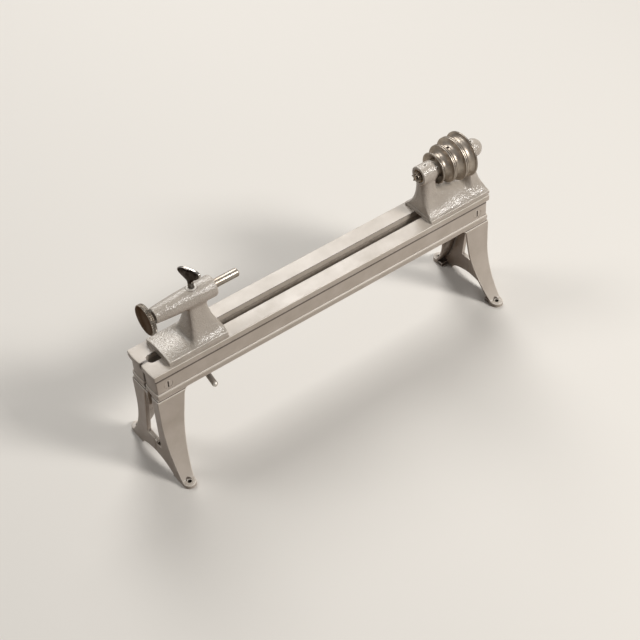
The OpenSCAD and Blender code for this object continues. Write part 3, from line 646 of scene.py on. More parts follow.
def new_material(name: str) -> tuple[Material, Tree, Node]:
    """An empty material with its Principled shader linked to its output.

    Args:
        name: Name of the material.

    Returns:
        The material, its node tree and its shader.
    """
    material = bpy.data.materials.new(name)
    material.use_nodes = True
    tree = material.node_tree
    tree.nodes.clear()
    shader = tree.nodes.new("ShaderNodeBsdfPrincipled")
    out = tree.nodes.new("ShaderNodeOutputMaterial")
    tree.links.new(shader.outputs[0], out.inputs["Surface"])
    return material, tree, shader


def ray_kind(tree: Tree, name: str) -> Socket:
    """1 for rays of one kind, by its name in the Light Path node."""
    return tree.nodes.new("ShaderNodeLightPath").outputs[name]


def seen_rays(tree: Tree) -> Socket:
    """1 for rays from the camera and off or through shiny things, 0 for light in between.

    Args:
        tree: Material or world that the Light Path node goes into.

    Returns:
        The greatest of Is Camera Ray, Is Glossy Ray and Is Transmission Ray.
    """
    seen = ray_kind(tree, "Is Camera Ray")
    for name in ("Is Glossy Ray", "Is Transmission Ray"):
        seen = reckoned(tree, "MAXIMUM", seen, ray_kind(tree, name))
    return seen


def group_of(
    name: str, inputs: dict[str, float], outputs: Sequence[str]
) -> tuple[Tree, Node, Node]:
    """Makes a shader node group with number inputs and outputs.

    Args:
        name: Name of the group.
        inputs: Each input's name and usual value.
        outputs: Names of the outputs.

    Returns:
        The group, its input node and its output node.
    """
    tree = bpy.data.node_groups.new(name, "ShaderNodeTree")
    kind = "NodeSocketFloat"
    for key, value in inputs.items():
        socket = tree.interface.new_socket(name=key, in_out="INPUT", socket_type=kind)
        socket.default_value = value
    for key in outputs:
        tree.interface.new_socket(name=key, in_out="OUTPUT", socket_type=kind)
    return tree, tree.nodes.new("NodeGroupInput"), tree.nodes.new("NodeGroupOutput")


def placed_group(tree: Tree, group: Tree, **values: float) -> Node:
    """Places a shared group in a material, with this material's own values.

    Args:
        tree: The material's nodes.
        group: The shared group.
        values: Its inputs, with an underscore for each space in a name.

    Returns:
        The placed group.
    """
    made = tree.nodes.new("ShaderNodeGroup")
    made.node_tree = group
    for key, value in values.items():
        made.inputs[key.replace("_", " ")].default_value = value
    return made


def cast_group() -> Tree:
    """Surface of a painted sand casting: height, painted glints and soft mottling.

    The height is fine grain plus broader lumps, each a noise times its own strength. The
    glitter, a mask for painted glints, is the fine noise with all but its peaks cut off.

    Returns:
        The group.
    """
    tree, given, out = group_of(
        "cast_surface",
        {"Grain Scale": 900.0, "Grain": 1.0, "Lumps": 0.5},
        ("Height", "Glitter", "Mottle"),
    )
    link = tree.links.new
    at = tree.nodes.new("ShaderNodeTexCoord").outputs["Object"]
    grain = noise(tree, at, Detail=1.0, Roughness=0.5)
    link(given.outputs["Grain Scale"], grain.inputs["Scale"])
    lumps = noise(tree, at, Scale=300.0, Detail=1.0, Roughness=0.5)
    mottle = noise(tree, at, Scale=38.0, Detail=4.0, Roughness=0.6)
    fine = reckoned(tree, "MULTIPLY", grain.outputs["Fac"], given.outputs["Grain"])
    broad = lumps.outputs["Fac"], given.outputs["Lumps"]
    link(reckoned(tree, "MULTIPLY_ADD", *broad, fine), out.inputs["Height"])
    glitter = ranged(tree, grain.outputs["Fac"], 0, 1, 0.56, 0.72, smooth=True)
    link(glitter, out.inputs["Glitter"])
    link(mottle.outputs["Fac"], out.inputs["Mottle"])
    return tree


def edge_and_hollow_group() -> Tree:
    """Masks from convexity: edges for wear and painted highlight, hollows for dirt and painted
    shade.

    The piece's own convexity, shifted by a noise so that the line is ragged, is taken from
    a start to full strength.

    Returns:
        The group.
    """
    tree, given, out = group_of("edge_and_hollow", {"Ragged": 0.5}, ("Edge", "Hollow"))
    edge = node(tree, "ShaderNodeAttribute", attribute_name="edge").outputs["Fac"]
    at = tree.nodes.new("ShaderNodeTexCoord").outputs["Object"]
    uneven = noise(tree, at, Scale=210.0, Detail=4.0, Roughness=0.65).outputs["Fac"]
    centred = reckoned(tree, "SUBTRACT", uneven, 0.5)
    shifted = reckoned(tree, "MULTIPLY_ADD", centred, given.outputs["Ragged"], edge)
    # Edge lightens worn edges and painted highlight lines; Hollow darkens dirt and painted shade.
    for name, first, last in (("Edge", 0.18, 0.62), ("Hollow", -0.08, -0.5)):
        tree.links.new(ranged(tree, shifted, 0, 1, first, last, smooth=True), out.inputs[name])
    return tree


def patina_group() -> Tree:
    """Old bare steel: a patchy stain, fine pits and a tool's turning marks.

    The stain and the pits are noises. The turning marks are a noise that changes mostly
    along X. The height is the marks times their strength, plus a share of the pits.

    Returns:
        The group.
    """
    tree, given, out = group_of(
        "steel_patina", {"Stain Scale": 60.0, "Turning": 1.0}, ("Stain", "Height")
    )
    link = tree.links.new
    at = tree.nodes.new("ShaderNodeTexCoord").outputs["Object"]
    stain = noise(tree, at, Detail=5.0, Roughness=0.62)
    link(given.outputs["Stain Scale"], stain.inputs["Scale"])
    link(stain.outputs["Fac"], out.inputs["Stain"])
    rings = node(tree, "ShaderNodeMapping", Scale=(1100.0, 12.0, 12.0))
    link(at, rings.inputs["Vector"])
    marks = noise(tree, rings.outputs[0], Scale=1.0, Detail=2.0).outputs["Fac"]
    pits = noise(tree, at, Scale=700.0, Detail=3.0).outputs["Fac"]
    strength = reckoned(tree, "MULTIPLY", marks, given.outputs["Turning"])
    link(reckoned(tree, "MULTIPLY_ADD", pits, 0.35, strength), out.inputs["Height"])
    return tree


def laid_on(tree: Tree, mask: Socket, share: float, under: Socket, over: Colour) -> Socket:
    """A colour laid over another where a mask shows, up to a share of full cover."""
    return mixed(tree, ranged(tree, mask, 0, share), under, linear(*over))


def finish_shader(tree: Tree, shader: Node, colour: Socket, rough: Socket, metallic: float) -> None:
    """Feeds a finish's colour and roughness into its shader.

    Args:
        tree: The material's nodes.
        shader: Its Principled shader.
        colour: What Base Color takes.
        rough: What Roughness takes.
        metallic: 1 for bare metal, 0 for paint.
    """
    tree.links.new(colour, shader.inputs["Base Color"])
    tree.links.new(rough, shader.inputs["Roughness"])
    shader.inputs["Metallic"].default_value = metallic


def raise_surface(tree: Tree, shader: Node, height: Socket, strength: float, depth: float) -> None:
    """Feeds a height through a Bump node into a shader's normal.

    Args:
        tree: The material's nodes.
        shader: Its Principled shader.
        height: What the Bump node takes.
        strength: How strongly it shows.
        depth: Height of a full step, in metres.
    """
    bump = node(tree, "ShaderNodeBump", Strength=strength, Distance=depth)
    tree.links.new(height, bump.inputs["Height"])
    tree.links.new(bump.outputs["Normal"], shader.inputs["Normal"])


@dataclass(frozen=True)
class PaintFinish:
    """Grey machine paint on iron: satin on the bed, thick and pebbled on the stocks."""

    name: str
    colour: Colour = (194, 184, 173)
    dark: Colour = (182, 172, 160)
    roughness: float = 0.34
    grain: float = 0.4
    lumps: float = 0.6
    grain_scale: float = 700.0
    bump: float = 0.1
    glitter: float = 0.0
    # Hollows take dirt and painted shade; edges take rubbed paint and painted highlight lines.
    grime_and_shade: float = 0.8
    grime_and_shade_colour: Colour = (56, 43, 33)
    bright_edges: float = 0.68
    rubbed_and_highlight_colour: Colour = (230, 223, 212)
    shine: float = 0.55

    def make(self, cast: Tree, edge_masks: Tree) -> Material:
        """Builds the material from the shared groups.

        Args:
            cast: Group with the surface of a painted casting.
            edge_masks: Group with the masks for edges and hollows.

        Returns:
            The material.
        """
        material, tree, shader = new_material(self.name)
        surface = placed_group(
            tree, cast, Grain_Scale=self.grain_scale, Grain=self.grain, Lumps=self.lumps
        ).outputs
        edges = placed_group(tree, edge_masks, Ragged=0.35).outputs
        patches = ranged(tree, surface["Mottle"], 0, 1, 0.35, 0.68)
        coat = mixed(tree, patches, linear(*self.dark), linear(*self.colour))
        # Painted glints: a brighter coat where the grain peaks.
        bright = tuple(min(1.0, 1.18 * c) for c in linear(*self.colour))
        lit = mixed(tree, ranged(tree, surface["Glitter"], 0, self.glitter), coat, bright)
        # Dirt and painted shade in hollows, then rubbed paint and painted highlights on edges.
        dirt_and_shade = laid_on(tree, edges["Hollow"], self.grime_and_shade, lit, self.grime_and_shade_colour)
        bright_edges = laid_on(tree, edges["Edge"], self.bright_edges, dirt_and_shade, self.rubbed_and_highlight_colour)
        dull, shiny = self.roughness + 0.05, self.roughness - 0.06
        rough = ranged(tree, surface["Mottle"], dull, shiny, 0.3, 0.7)
        finish_shader(tree, shader, bright_edges, rough, 0.0)
        shader.inputs["Specular IOR Level"].default_value = self.shine
        raise_surface(tree, shader, surface["Height"], self.bump, 0.001)
        return material


@dataclass(frozen=True)
class SteelFinish:
    """Bare or plated metal, from bright to dull, with stain, dark patina and bright edges."""

    name: str
    colour: Colour = (206, 200, 192)
    stain: Colour = (146, 130, 112)
    stain_amount: float = 0.5
    patina: Colour = (58, 42, 31)
    roughness: float = 0.2
    rough_spread: float = 0.12
    turning: float = 0.6
    bump: float = 0.05
    stain_scale: float = 60.0
    # Dirt and painted shade in hollows.
    grime_and_shade: float = 0.75
    grime_and_shade_colour: Colour = (58, 46, 38)
    polish: float = 0.7
    polish_colour: Colour = (226, 220, 211)

    def make(self, patina: Tree, edge_masks: Tree) -> Material:
        """Builds the material from the shared groups.

        Args:
            patina: Group with the stain and marks of old steel.
            edge_masks: Group with the masks for edges and hollows.

        Returns:
            The material.
        """
        material, tree, shader = new_material(self.name)
        old = placed_group(
            tree, patina, Stain_Scale=self.stain_scale, Turning=self.turning
        ).outputs
        edges = placed_group(tree, edge_masks, Ragged=0.25).outputs
        patches = ranged(tree, old["Stain"], 0, self.stain_amount, 0.38, 0.68)
        base = mixed(tree, patches, linear(*self.colour), linear(*self.stain))
        marked = node(tree, "ShaderNodeAttribute", attribute_name="patina").outputs["Fac"]
        thin = ranged(tree, old["Stain"], 0.78, 1.0, 0.3, 0.6)
        cover = reckoned(tree, "MULTIPLY", marked, thin)
        covered = mixed(tree, cover, base, linear(*self.patina))
        # Dirt and painted shade in hollows, then polished edges.
        dirt_and_shade = laid_on(tree, edges["Hollow"], self.grime_and_shade, covered, self.grime_and_shade_colour)
        bright_edges = laid_on(tree, edges["Edge"], self.polish, dirt_and_shade, self.polish_colour)
        dullest = self.roughness + self.rough_spread
        rough = ranged(tree, old["Stain"], self.roughness, dullest, 0.3, 0.75)
        finish_shader(tree, shader, bright_edges, rough, 1.0)
        shader.inputs["Specular Tint"].default_value = (0.55, 0.5, 0.46, 1.0)
        raise_surface(tree, shader, old["Height"], self.bump, 0.0002)
        return material


class Paint(Enum):
    """The lathe's paints."""

    BED = PaintFinish("bed_paint")
    STOCK = PaintFinish(
        "stock_paint", colour=(186, 177, 166), dark=(172, 163, 152), roughness=0.2,
        grain=0.8, lumps=0.45, grain_scale=760.0, bump=0.62, glitter=0.3, shine=0.8,
    )


class Metal(Enum):
    """The lathe's bare and plated metals."""

    BRIGHT = SteelFinish(
        "bright_steel", colour=(150, 144, 136), roughness=0.3, turning=0.0, bump=0.004
    )
    PULLEY = SteelFinish(
        "pulley_steel", colour=(184, 174, 162), stain=(92, 79, 67), stain_amount=0.65,
        roughness=0.35, rough_spread=0.1, turning=0.3, bump=0.02, stain_scale=45.0, polish=0.4,
    )
    PLATED = SteelFinish(
        "plated_steel", colour=(196, 192, 186), stain=(120, 104, 88), stain_amount=0.4,
        patina=(34, 25, 19), roughness=0.14, rough_spread=0.1, turning=0.2, bump=0.03,
        stain_scale=90.0,
    )
    LEVER = SteelFinish(
        "lever_steel", colour=(222, 217, 210), stain=(176, 166, 154), stain_amount=0.5,
        roughness=0.5, rough_spread=0.14, turning=0.0, bump=0.05, stain_scale=90.0,
    )
    DULL = SteelFinish(
        "dull_steel", colour=(128, 122, 115), stain=(84, 70, 58), stain_amount=0.8,
        roughness=0.36, rough_spread=0.2, turning=0.5, bump=0.12, stain_scale=110.0,
    )
    RAW = SteelFinish(
        "raw_iron", colour=(104, 99, 94), stain=(70, 60, 52), stain_amount=0.8,
        roughness=0.5, rough_spread=0.2, turning=0.0, bump=0.3, stain_scale=80.0,
    )
    BRONZE = SteelFinish(
        "bronze", colour=(112, 96, 78), stain=(70, 56, 44), stain_amount=0.8,
        roughness=0.3, rough_spread=0.15, turning=0.6, bump=0.06, stain_scale=120.0,
    )


class Finishes:
    """Every material of the lathe, each made once."""

    def __init__(self) -> None:
        """Makes the shared groups and, from them, all materials."""
        cast, edge_masks, patina = cast_group(), edge_and_hollow_group(), patina_group()
        self.made: dict[Paint | Metal, Material] = {}
        for paint in Paint:
            self.made[paint] = paint.value.make(cast, edge_masks)
        for metal in Metal:
            self.made[metal] = metal.value.make(patina, edge_masks)

    def put_on(self, piece: Piece, finish: Paint | Metal) -> None:
        """Makes a finish the piece's only material."""
        piece.data.materials.clear()
        piece.data.materials.append(self.made[finish])

    def dress(
        self, piece: Piece, finish: Paint | Metal, body: str, slot: str, *replaced: str
    ) -> None:
        """Gives a new piece its finish and body, and hides the CAD nodes that it stands for.

        Args:
            piece: The new piece.
            finish: How its surface looks.
            body: CAD body that it rides on.
            slot: Name of a material slot; not used.
            replaced: Names of the CAD nodes that it takes the place of.
        """
        self.put_on(piece, finish)
        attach(piece, body)
        if replaced:
            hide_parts(*replaced)
        log.info("%s rides on %s", piece.name, body)

    def keep(self, finish: Paint | Metal, *names: str) -> None:
        """Gives CAD nodes that keep their shape a better material.

        Args:
            finish: How their surface looks.
            names: Names of the nodes.
        """
        for name in names:
            self.put_on(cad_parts[name], finish)
            log.info("CAD node %s keeps its shape", name)


@dataclass
class Bed:
    """Two bed castings bolted together along the middle, each with two splayed legs."""

    # Rail, as insets from the flange's edge and heights.
    half_w: float = 26.7
    slot_half: float = 6.2
    slot_end: float = 219.5
    rail_z: float = 110.5
    web_inset: float = 2.3
    bead_inset: float = 1.1
    bead_z: float = 118.5
    flange_z: float = 140.2
    seam: float = 0.28
    # The rail's ends, with the V notch at the seam.
    bulge: float = 1.1
    notch: float = 2.6
    notch_y: tuple[float, float, float] = (0.0, 1.0, 1.9)
    notch_share: tuple[float, float, float] = (1.0, 0.55, 0.0)
    notch_r: float = 0.6
    corner_r: float = 1.6
    corner_run: float = 8.0
    # Legs: front plate, end web with its opening, stretcher and the arch under it.
    leg_end: float = 228.4
    ledge_z: float = 108.9
    leg_y: float = 25.8
    plate_t: float = 3.2
    plate_w: tuple[float, float, float] = (15.2, 24.4, -5.4)
    plate_rise: float = 105.0
    plate_lip: tuple[float, float] = (5.0, 1.8)
    web_t: float = 5.6
    opening_z: tuple[float, ...] = (33.0, 60.0, 93.3, 101.5, 107.5)
    opening_half: tuple[float, ...] = (13.8, 9.3, 4.0, 2.7, 0.3)
    neck: tuple[float, float] = (1.1, 1.3)
    curve_z: float = 78.0
    curve_r: float = 118.0
    stretcher_z: float = 33.0
    crown_z: float = 11.5
    crown_r: float = 60.0
    leg_overlap: float = 0.9
    # Rounding of the leg's edges and of the hollow between plate and web.
    foot_edge_r: float = 0.8
    web_edge_r: float = 1.0
    plate_edge_r: float = 1.4
    fillet_r: float = 2.4
    # Feet and their screw holes.
    foot_inner: float = 31.0
    foot_len: float = 13.7
    hole_x: float = 220.8
    hole_y: float = 53.0
    hole_r: float = 2.38
    pad_r: float = 7.56
    pad_t: float = 5.0
    scoop_r: float = 3.5
    # Fasteners: a head's sizes are its height, slot width, slot half length and depth, edge.
    screw_x: float = 211.5
    screw_z: float = 126.8
    screw_r: float = 5.2
    screw_head: tuple[float, ...] = (2.4, 1.5, 4.3, 1.5, 0.35)
    screw_clearance: float = 0.12
    screw_seat: float = 2.2
    screw_proud: float = 0.1
    nut_room_x: float = 224.2
    nut_room_y: tuple[float, float] = (5.0, 12.9)
    nut_room_drop: float = 4.2

    def outer_lines(self, insets: Array) -> Array:
        """Outlines of one end of a half, seen from above, for each inset from the flange.

        From the seam the line runs out of a V notch, along an arc that bulges between the
        notch and the corner, and round the corner.

        Args:
            insets: How far each outline lies inside the flange's edge.

        Returns:
            For each inset, the points from the seam to the start of the straight side.
        """
        mid = self.half_w / 2
        radius = (mid**2 + self.bulge**2) / (2 * self.bulge)
        y = self.seam + np.array(self.notch_y)
        y = np.concatenate([y, np.linspace(3.6, self.half_w - 1.5, 9)])
        scale = (self.half_w - insets[:, None] - self.seam) / (self.half_w - self.seam)
        x = BED_END - radius + np.sqrt(radius**2 - (y - mid) ** 2)
        x[:3] -= self.notch * np.array(self.notch_share)
        rows = np.stack([x - insets[:, None], self.seam + (y - self.seam) * scale], -1)
        corner_x, corner_y = BED_END - self.bulge - insets, self.half_w - insets
        corner = np.stack([corner_x, corner_y], -1)[:, None]
        side = np.stack([corner_x - self.corner_run, corner_y], -1)[:, None]
        rows = np.concatenate([rows, corner, side], 1)
        radii = np.full(rows.shape[1], self.notch_r)
        radii[-2] = self.corner_r
        return soften(rows, radii, steps=4)

    def inner_lines(self, insets: Array, count: int) -> Array:
        """Outlines of the slot's end for each inset: a straight side and a quarter turn.

        Args:
            insets: How far each outline lies outside the lip of the slot.
            count: Points in an outline.

        Returns:
            For each inset, the points from the seam to the slot's side.
        """
        turn = np.linspace(0, np.pi / 2, count)
        radius = self.slot_half + 0.25 * insets
        x = self.slot_end - radius[:, None] * (1 - np.cos(turn))
        y = self.seam + (self.slot_half + insets - self.seam)[:, None] * np.sin(turn)
        return np.stack([x, y], -1)

    def rail(self, name: str, side: int) -> Piece:
        """One bed half above its legs: its section carried along the line of its top.

        The section is drawn as insets from the outer and inner outline at each height, so
        the flange, web and bead wrap round the ends. Front and back outline have as many
        points, and each pair of rows is joined by quads.

        Args:
            name: Name of the piece.
            side: -1 for the turner's half, 1 for the back one.

        Returns:
            The linked object, without the pocket for its screws.
        """
        web, bead, low, top = self.web_inset, self.bead_inset, self.rail_z, self.flange_z
        outer = rounded([
            [1.6, WAY_Z, 0], [0, WAY_Z, 0.9], [0, top, 0.7], [web, top, 1.0],
            [web, top - 2.4, 0], [web, top - 3.8, 0], [web, top - 4.7, 0],
            [web, self.bead_z + 1.6, 0], [web, self.bead_z + 0.8, 0.3],
            [bead, self.bead_z, 0.6], [bead, self.bead_z - 1.2, 0],
            [bead, self.bead_z - 2.0, 0], [bead, self.bead_z - 4.6, 0.3],
            [bead + 0.5, self.bead_z - 5.2, 0.3], [bead + 0.5, low, 0.5], [bead + 2, low, 0],
        ])
        inner = rounded([
            [4, low, 0], [2, low, 0.6], [2, top - 1.2, 0.8], [0, top, 0.6], [0, WAY_Z - 5.2, 0],
            [0, WAY_Z - 3.4, 0], [0, WAY_Z - 1.8, 0], [0, WAY_Z, 0.55], [1.2, WAY_Z, 0],
        ])
        outer, inner = braced(outer), braced(inner)
        out_line = self.outer_lines(outer[:, 0])
        in_line = self.inner_lines(inner[:, 0], out_line.shape[1])
        rows = []
        for line, heights in ((in_line, inner[:, 1]), (out_line, outer[:, 1])):
            whole = np.concatenate([line, (line * [-1, 1])[:, ::-1]], 1)
            z = np.broadcast_to(heights[:, None, None], whole.shape[:2] + (1,))
            rows.append(np.concatenate([whole, z], -1))
        grid = np.concatenate(rows)
        count, cols = grid.shape[:2]
        points = grid.reshape(-1, 3) * [1, side, 1]
        first = np.arange(count) * cols
        ends = np.stack([first, (first + cols - 1)[::-1]])
        section = np.concatenate([inner * [-1, 1] + [40.0, 0], outer * [-1, 1] + [80.0, 0]])
        # Marks: painted shade in the slot, painted shadow and highlight lines on the outer face.
        marks = np.concatenate([self.slot_shade(inner[:, 1]), self.line_shadow_and_highlight(*outer.T)])
        bend = np.repeat(line_bend(section) + marks, cols).reshape(count, cols)
        seam = 1.7 * np.exp(-np.abs(grid[..., 1] - self.seam))
        quads = grid_faces(count, cols, True, False)
        return write_mesh(name, points, [quads, ends], 50.0, {"edge": np.clip(bend - seam, -1, 1)})

    def slot_shade(self, z: Array) -> Array:
        """Painted shade on the slot's walls, which deepens from just under the lip to full
        strength.
        """
        return -0.26 * np.clip((WAY_Z - 2.2 - z) / 5.0, 0, 1)

    def line_shadow_and_highlight(self, inset: Array, z: Array) -> Array:
        """Painted light on the outer face: a painted bead highlight and a painted shadow under the
        flange.

        Args:
            inset: How far inside the flange's edge each point of the section lies.
            z: Its height.

        Returns:
            What is added to how convex the section is there.
        """
        # Painted shadow of the flange on the top of the web.
        under = (inset > 1.5) & (z > self.flange_z - 3.9) & (z < self.flange_z)
        bead = (z > self.bead_z - 1.3) & (z < self.bead_z + 0.7)
        # Painted highlight along the bead's top edge, painted shadow under the flange.
        return 0.75 * bead - 0.9 * under

    def plate_face(self, y: Array, z: Array) -> Array:
        """How far a place lies outside the front plate's face.

        The face stands upright above the level of the circle's centre and follows the
        circle below it, so the leg splays towards its foot.

        Args:
            y, z: Places in millimetres.

        Returns:
            The distance, below zero inside the leg.
        """
        centre_y = self.leg_y + self.curve_r
        swing = self.curve_r - np.hypot(y - centre_y, z - self.curve_z)
        return np.where(z > self.curve_z, y - self.leg_y, swing)

    def leg_field(self, x: Array, y: Array, z: Array, pocket: bool) -> Array:
        """Distance to one leg with its half of the stretcher, for the quarter at +X and +Y.

        The front plate lies behind its face, and widens with height by a curve of the
        second degree and at its lip. The end web runs from it to the seam, less the A-shaped
        opening, whose half width is a table over height, and less the arch, a circle. The
        foot is a round pad with a scooped screw hole.

        Args:
            x, y, z: Places in millimetres.
            pocket: Whether the stretcher has the room for its nut.

        Returns:
            The distance to the leg's skin, below zero inside.
        """
        edge, corner = self.foot_edge_r, self.plate_edge_r
        face = self.plate_face(y, z)
        rise = np.clip((z - self.pad_t) / self.plate_rise, 0, 1)
        lip = self.plate_lip[0] * np.exp(-np.maximum(self.rail_z - z, 0) / self.plate_lip[1])
        width = self.plate_w[0] + self.plate_w[1] * rise + self.plate_w[2] * rise**2 + lip
        plate = meet(-face - self.plate_t, self.leg_end - width - x, corner)
        web = meet(self.leg_end - self.web_t - x, self.seam - y, EDGE)
        half = np.interp(z, self.opening_z, self.opening_half)
        opening = meet(y - half, self.stretcher_z - z, 2.2)
        opening = meet(opening, z - self.opening_z[-1], EDGE)
        web = carve(web, opening, self.web_edge_r)
        crown = np.hypot(y, z - self.crown_z + self.crown_r) - self.crown_r
        web = carve(web, meet(crown, y - self.foot_inner, 1.5), self.web_edge_r)
        body = join(plate, web, self.fillet_r)
        body = meet(body, meet(face, x - self.leg_end, corner), 1.2)
        reach = np.hypot(x - self.hole_x, y - self.hole_y)
        pad = meet(reach - self.pad_r, z - self.pad_t, edge)
        low = (self.hole_x - self.pad_r, self.hole_y - self.foot_len, -5.0)
        toe = block(x, y, z, low, (self.leg_end, self.hole_y, self.pad_t), edge)
        body = meet(join(body, join(pad, toe, 0.3), 1.6), x - self.leg_end, edge)
        body = carve(body, meet(reach - self.scoop_r, self.pad_t - z, 0.7), 0.9)
        body = carve(body, reach - self.hole_r, EDGE)
        if pocket:
            depth = self.stretcher_z - self.nut_room_drop - z
            room = meet(depth, self.nut_room_x - x, 0.4)
            body = carve(body, meet(slab(y, *self.nut_room_y), room, 0.4), EDGE)
        inside = self.leg_y - self.neck[0] - y, self.leg_end - self.neck[1] - x
        neck = np.maximum(self.ledge_z - z, np.minimum(*inside))
        body = meet(carve(body, neck, EDGE), -z, EDGE)
        return meet(body, z - self.rail_z - self.leg_overlap, EDGE)

    def leg_shade_and_highlight(self, points: Array) -> Array:
        """Painted light on a leg.

        A painted highlight on the ledge at its top, a bell curve over height, and painted shade
        on its inner side, at its sole and in the foot's hole and scoop.

        Args:
            points: Places on the leg's skin, in the quarter at +X and +Y.

        Returns:
            What is added to how convex the leg is there.
        """
        x, y, z = points.T
        outside = np.maximum(y - self.leg_y, x - self.leg_end) > -1.0
        ledge = np.exp(-(((z - self.ledge_z + 0.4) / 0.9) ** 2)) * outside
        reach = np.hypot(x - self.hole_x, y - self.hole_y)
        scoop = (reach < self.scoop_r + 0.6) & (z > self.pad_t + 0.3)
        hole = (reach < self.hole_r + 0.35) & (z < self.pad_t - 0.4)
        behind = self.plate_face(y, z) < 0.6 - self.plate_t
        inner = behind & (x < self.leg_end - self.web_t - 0.5)
        sole = inner & (z < self.pad_t + 1.5) & (y < self.hole_y - 6)
        # Painted highlight on the ledge; painted shade in scoop, hole, behind the plate and at the
        # sole.
        return 0.8 * ledge - 1.1 * scoop - 1.5 * hole - 0.3 * inner - 0.5 * sole

    def build(self, finishes: Finishes) -> None:
        """Builds both halves, their legs and the fasteners that hold them together.

        Args:
            finishes: The lathe's materials.
        """
        for name, side in (("front_bed_half", -1), ("rear_bed_half", 1)):
            rail = self.rail(name.replace("bed_half", "bed_rail"), side)
            if side < 0:
                self.cut_pockets(rail)
            finishes.dress(rail, Paint.BED, "bed", "bed_paint", name)
            field = partial(self.leg_field, pocket=side < 0)
            points, quads = surface_net(field, (187.0, -1.0, -1.5), (230.0, 62.5, 113.0))
            bend = field_bend(field, points) + self.leg_shade_and_highlight(points)
            for end, place_name in ((-1, "tail"), (1, "head")):
                title = f"{name.split('_')[0]}_leg_{place_name}_end"
                leg = write_mesh(title, points * [end, side, 1], [quads], 180.0, {"edge": bend})
                finishes.dress(leg, Paint.BED, "bed", "bed_paint")
        self.screws(finishes)

    def cut_pockets(self, rail: Piece) -> None:
        """Cuts the pockets of the two bed end screws into the turner's half.

        Args:
            rail: The rail that is cut.
        """
        sides = 72
        bottom = -self.half_w + self.web_inset + self.screw_seat
        radius = self.screw_r + self.screw_clearance
        profile = bar_profile(-self.half_w - 1, bottom, radius, 0.1)
        angle = np.linspace(0, 2 * np.pi, sides, endpoint=False)
        quads = grid_faces(len(profile), sides, False, True)
        for end in (-1, 1):
            x = end * self.screw_x + profile[:, 1:] * np.cos(angle)
            z = self.screw_z + profile[:, 1:] * np.sin(angle)
            y = np.broadcast_to(profile[:, :1], x.shape)
            points = np.stack([x, y, z], -1).reshape(-1, 3)
            cut_away(rail, write_mesh("pocket_cutter", points, [quads]), 50.0)

    def screws(self, finishes: Finishes) -> None:
        """Slotted bed end screws, painted over, and the stretcher screws.

        Args:
            finishes: The lathe's materials.
        """
        points, quads = slotted_head(self.screw_r, *self.screw_head)
        face_y = -self.half_w + self.web_inset + self.screw_proud
        heads = [
            np.stack([end * self.screw_x + points[:, 0], face_y - points[:, 2],
                      self.screw_z + points[:, 1]], -1)
            for end in (-1, 1)
        ]
        # Painted shade in the slot; the rest of the head a little lighter.
        tone_marks = np.where((points[:, 2] < -0.5) & (points[:, 2] > -2), -2.0, 0.3)
        screws = write_mesh(
            "bed_end_screw_heads", np.concatenate(heads),
            [np.concatenate([quads, quads + len(points)])], 30, {"edge": np.tile(tone_marks, 2)},
        )
        finishes.dress(screws, Paint.BED, "bed", "bed_paint", "bed_end_screws")
        finishes.keep(Metal.DULL, "stretcher_screws")


def slotted_head(
    radius: float, height: float, slot_w: float, slot_half: float, slot_d: float, edge: float
) -> tuple[Array, Array]:
    """A round screw head with a driver slot, drawn with its face up at height zero.

    A grid of points, in straight rows that each reach from rim to rim, has its height
    lowered by the slot's depth inside the slot, with steep sides, and by a quarter circle
    at the rim. The grid then turns down into the side and the bottom.

    Args:
        radius: Radius of the head.
        height: Height of the head.
        slot_w: Width of the slot.
        slot_half: Half the length of the slot, short of the rim where paint fills its ends.
        slot_d: Depth of the slot.
        edge: Rounding of the rim.

    Returns:
        Points and quads.
    """
    half, lip, share = slot_w / 2, 0.08, slot_half / radius
    side = np.array([half - 0.001, half, half + lip, radius])
    across = np.concatenate([-side, side, np.linspace(-radius, radius, 33)])
    across = np.unique(across)
    along = np.array([-share - 0.03, -share, share, share + 0.03])
    along = np.unique(np.concatenate([np.linspace(-1, 1, 25), along]))
    u, v = np.meshgrid(across, along, indexing="ij")
    y = v * np.sqrt(np.maximum(radius**2 - u**2, 0.0))
    far = np.clip((np.hypot(u, y) - radius + edge) / edge, 0, 1)
    top = -edge * (1 - np.sqrt(1 - 0.999 * far**2))
    in_slot = (np.abs(u) <= half - 0.0005) & (np.abs(v) <= share + 0.001)
    top = np.where(in_slot, -slot_d, top)
    low = np.full_like(top, -height)
    points = np.concatenate([np.stack([u, y, top], -1), np.stack([u, y, low], -1)[::-1]])
    rows, cols = points.shape[:2]
    quads = grid_faces(rows, cols, True, False)
    number = np.arange(rows * cols).reshape(rows, cols)
    half_rows = rows // 2
    sides = []
    for edge_col in (0, cols - 1):
        upper, lower = number[:half_rows, edge_col], number[half_rows:, edge_col][::-1]
        wall = np.stack([upper[:-1], upper[1:], lower[1:], lower[:-1]], -1)
        sides.append(wall if edge_col else wall[:, ::-1])
    return points.reshape(-1, 3), np.concatenate([quads, *sides])


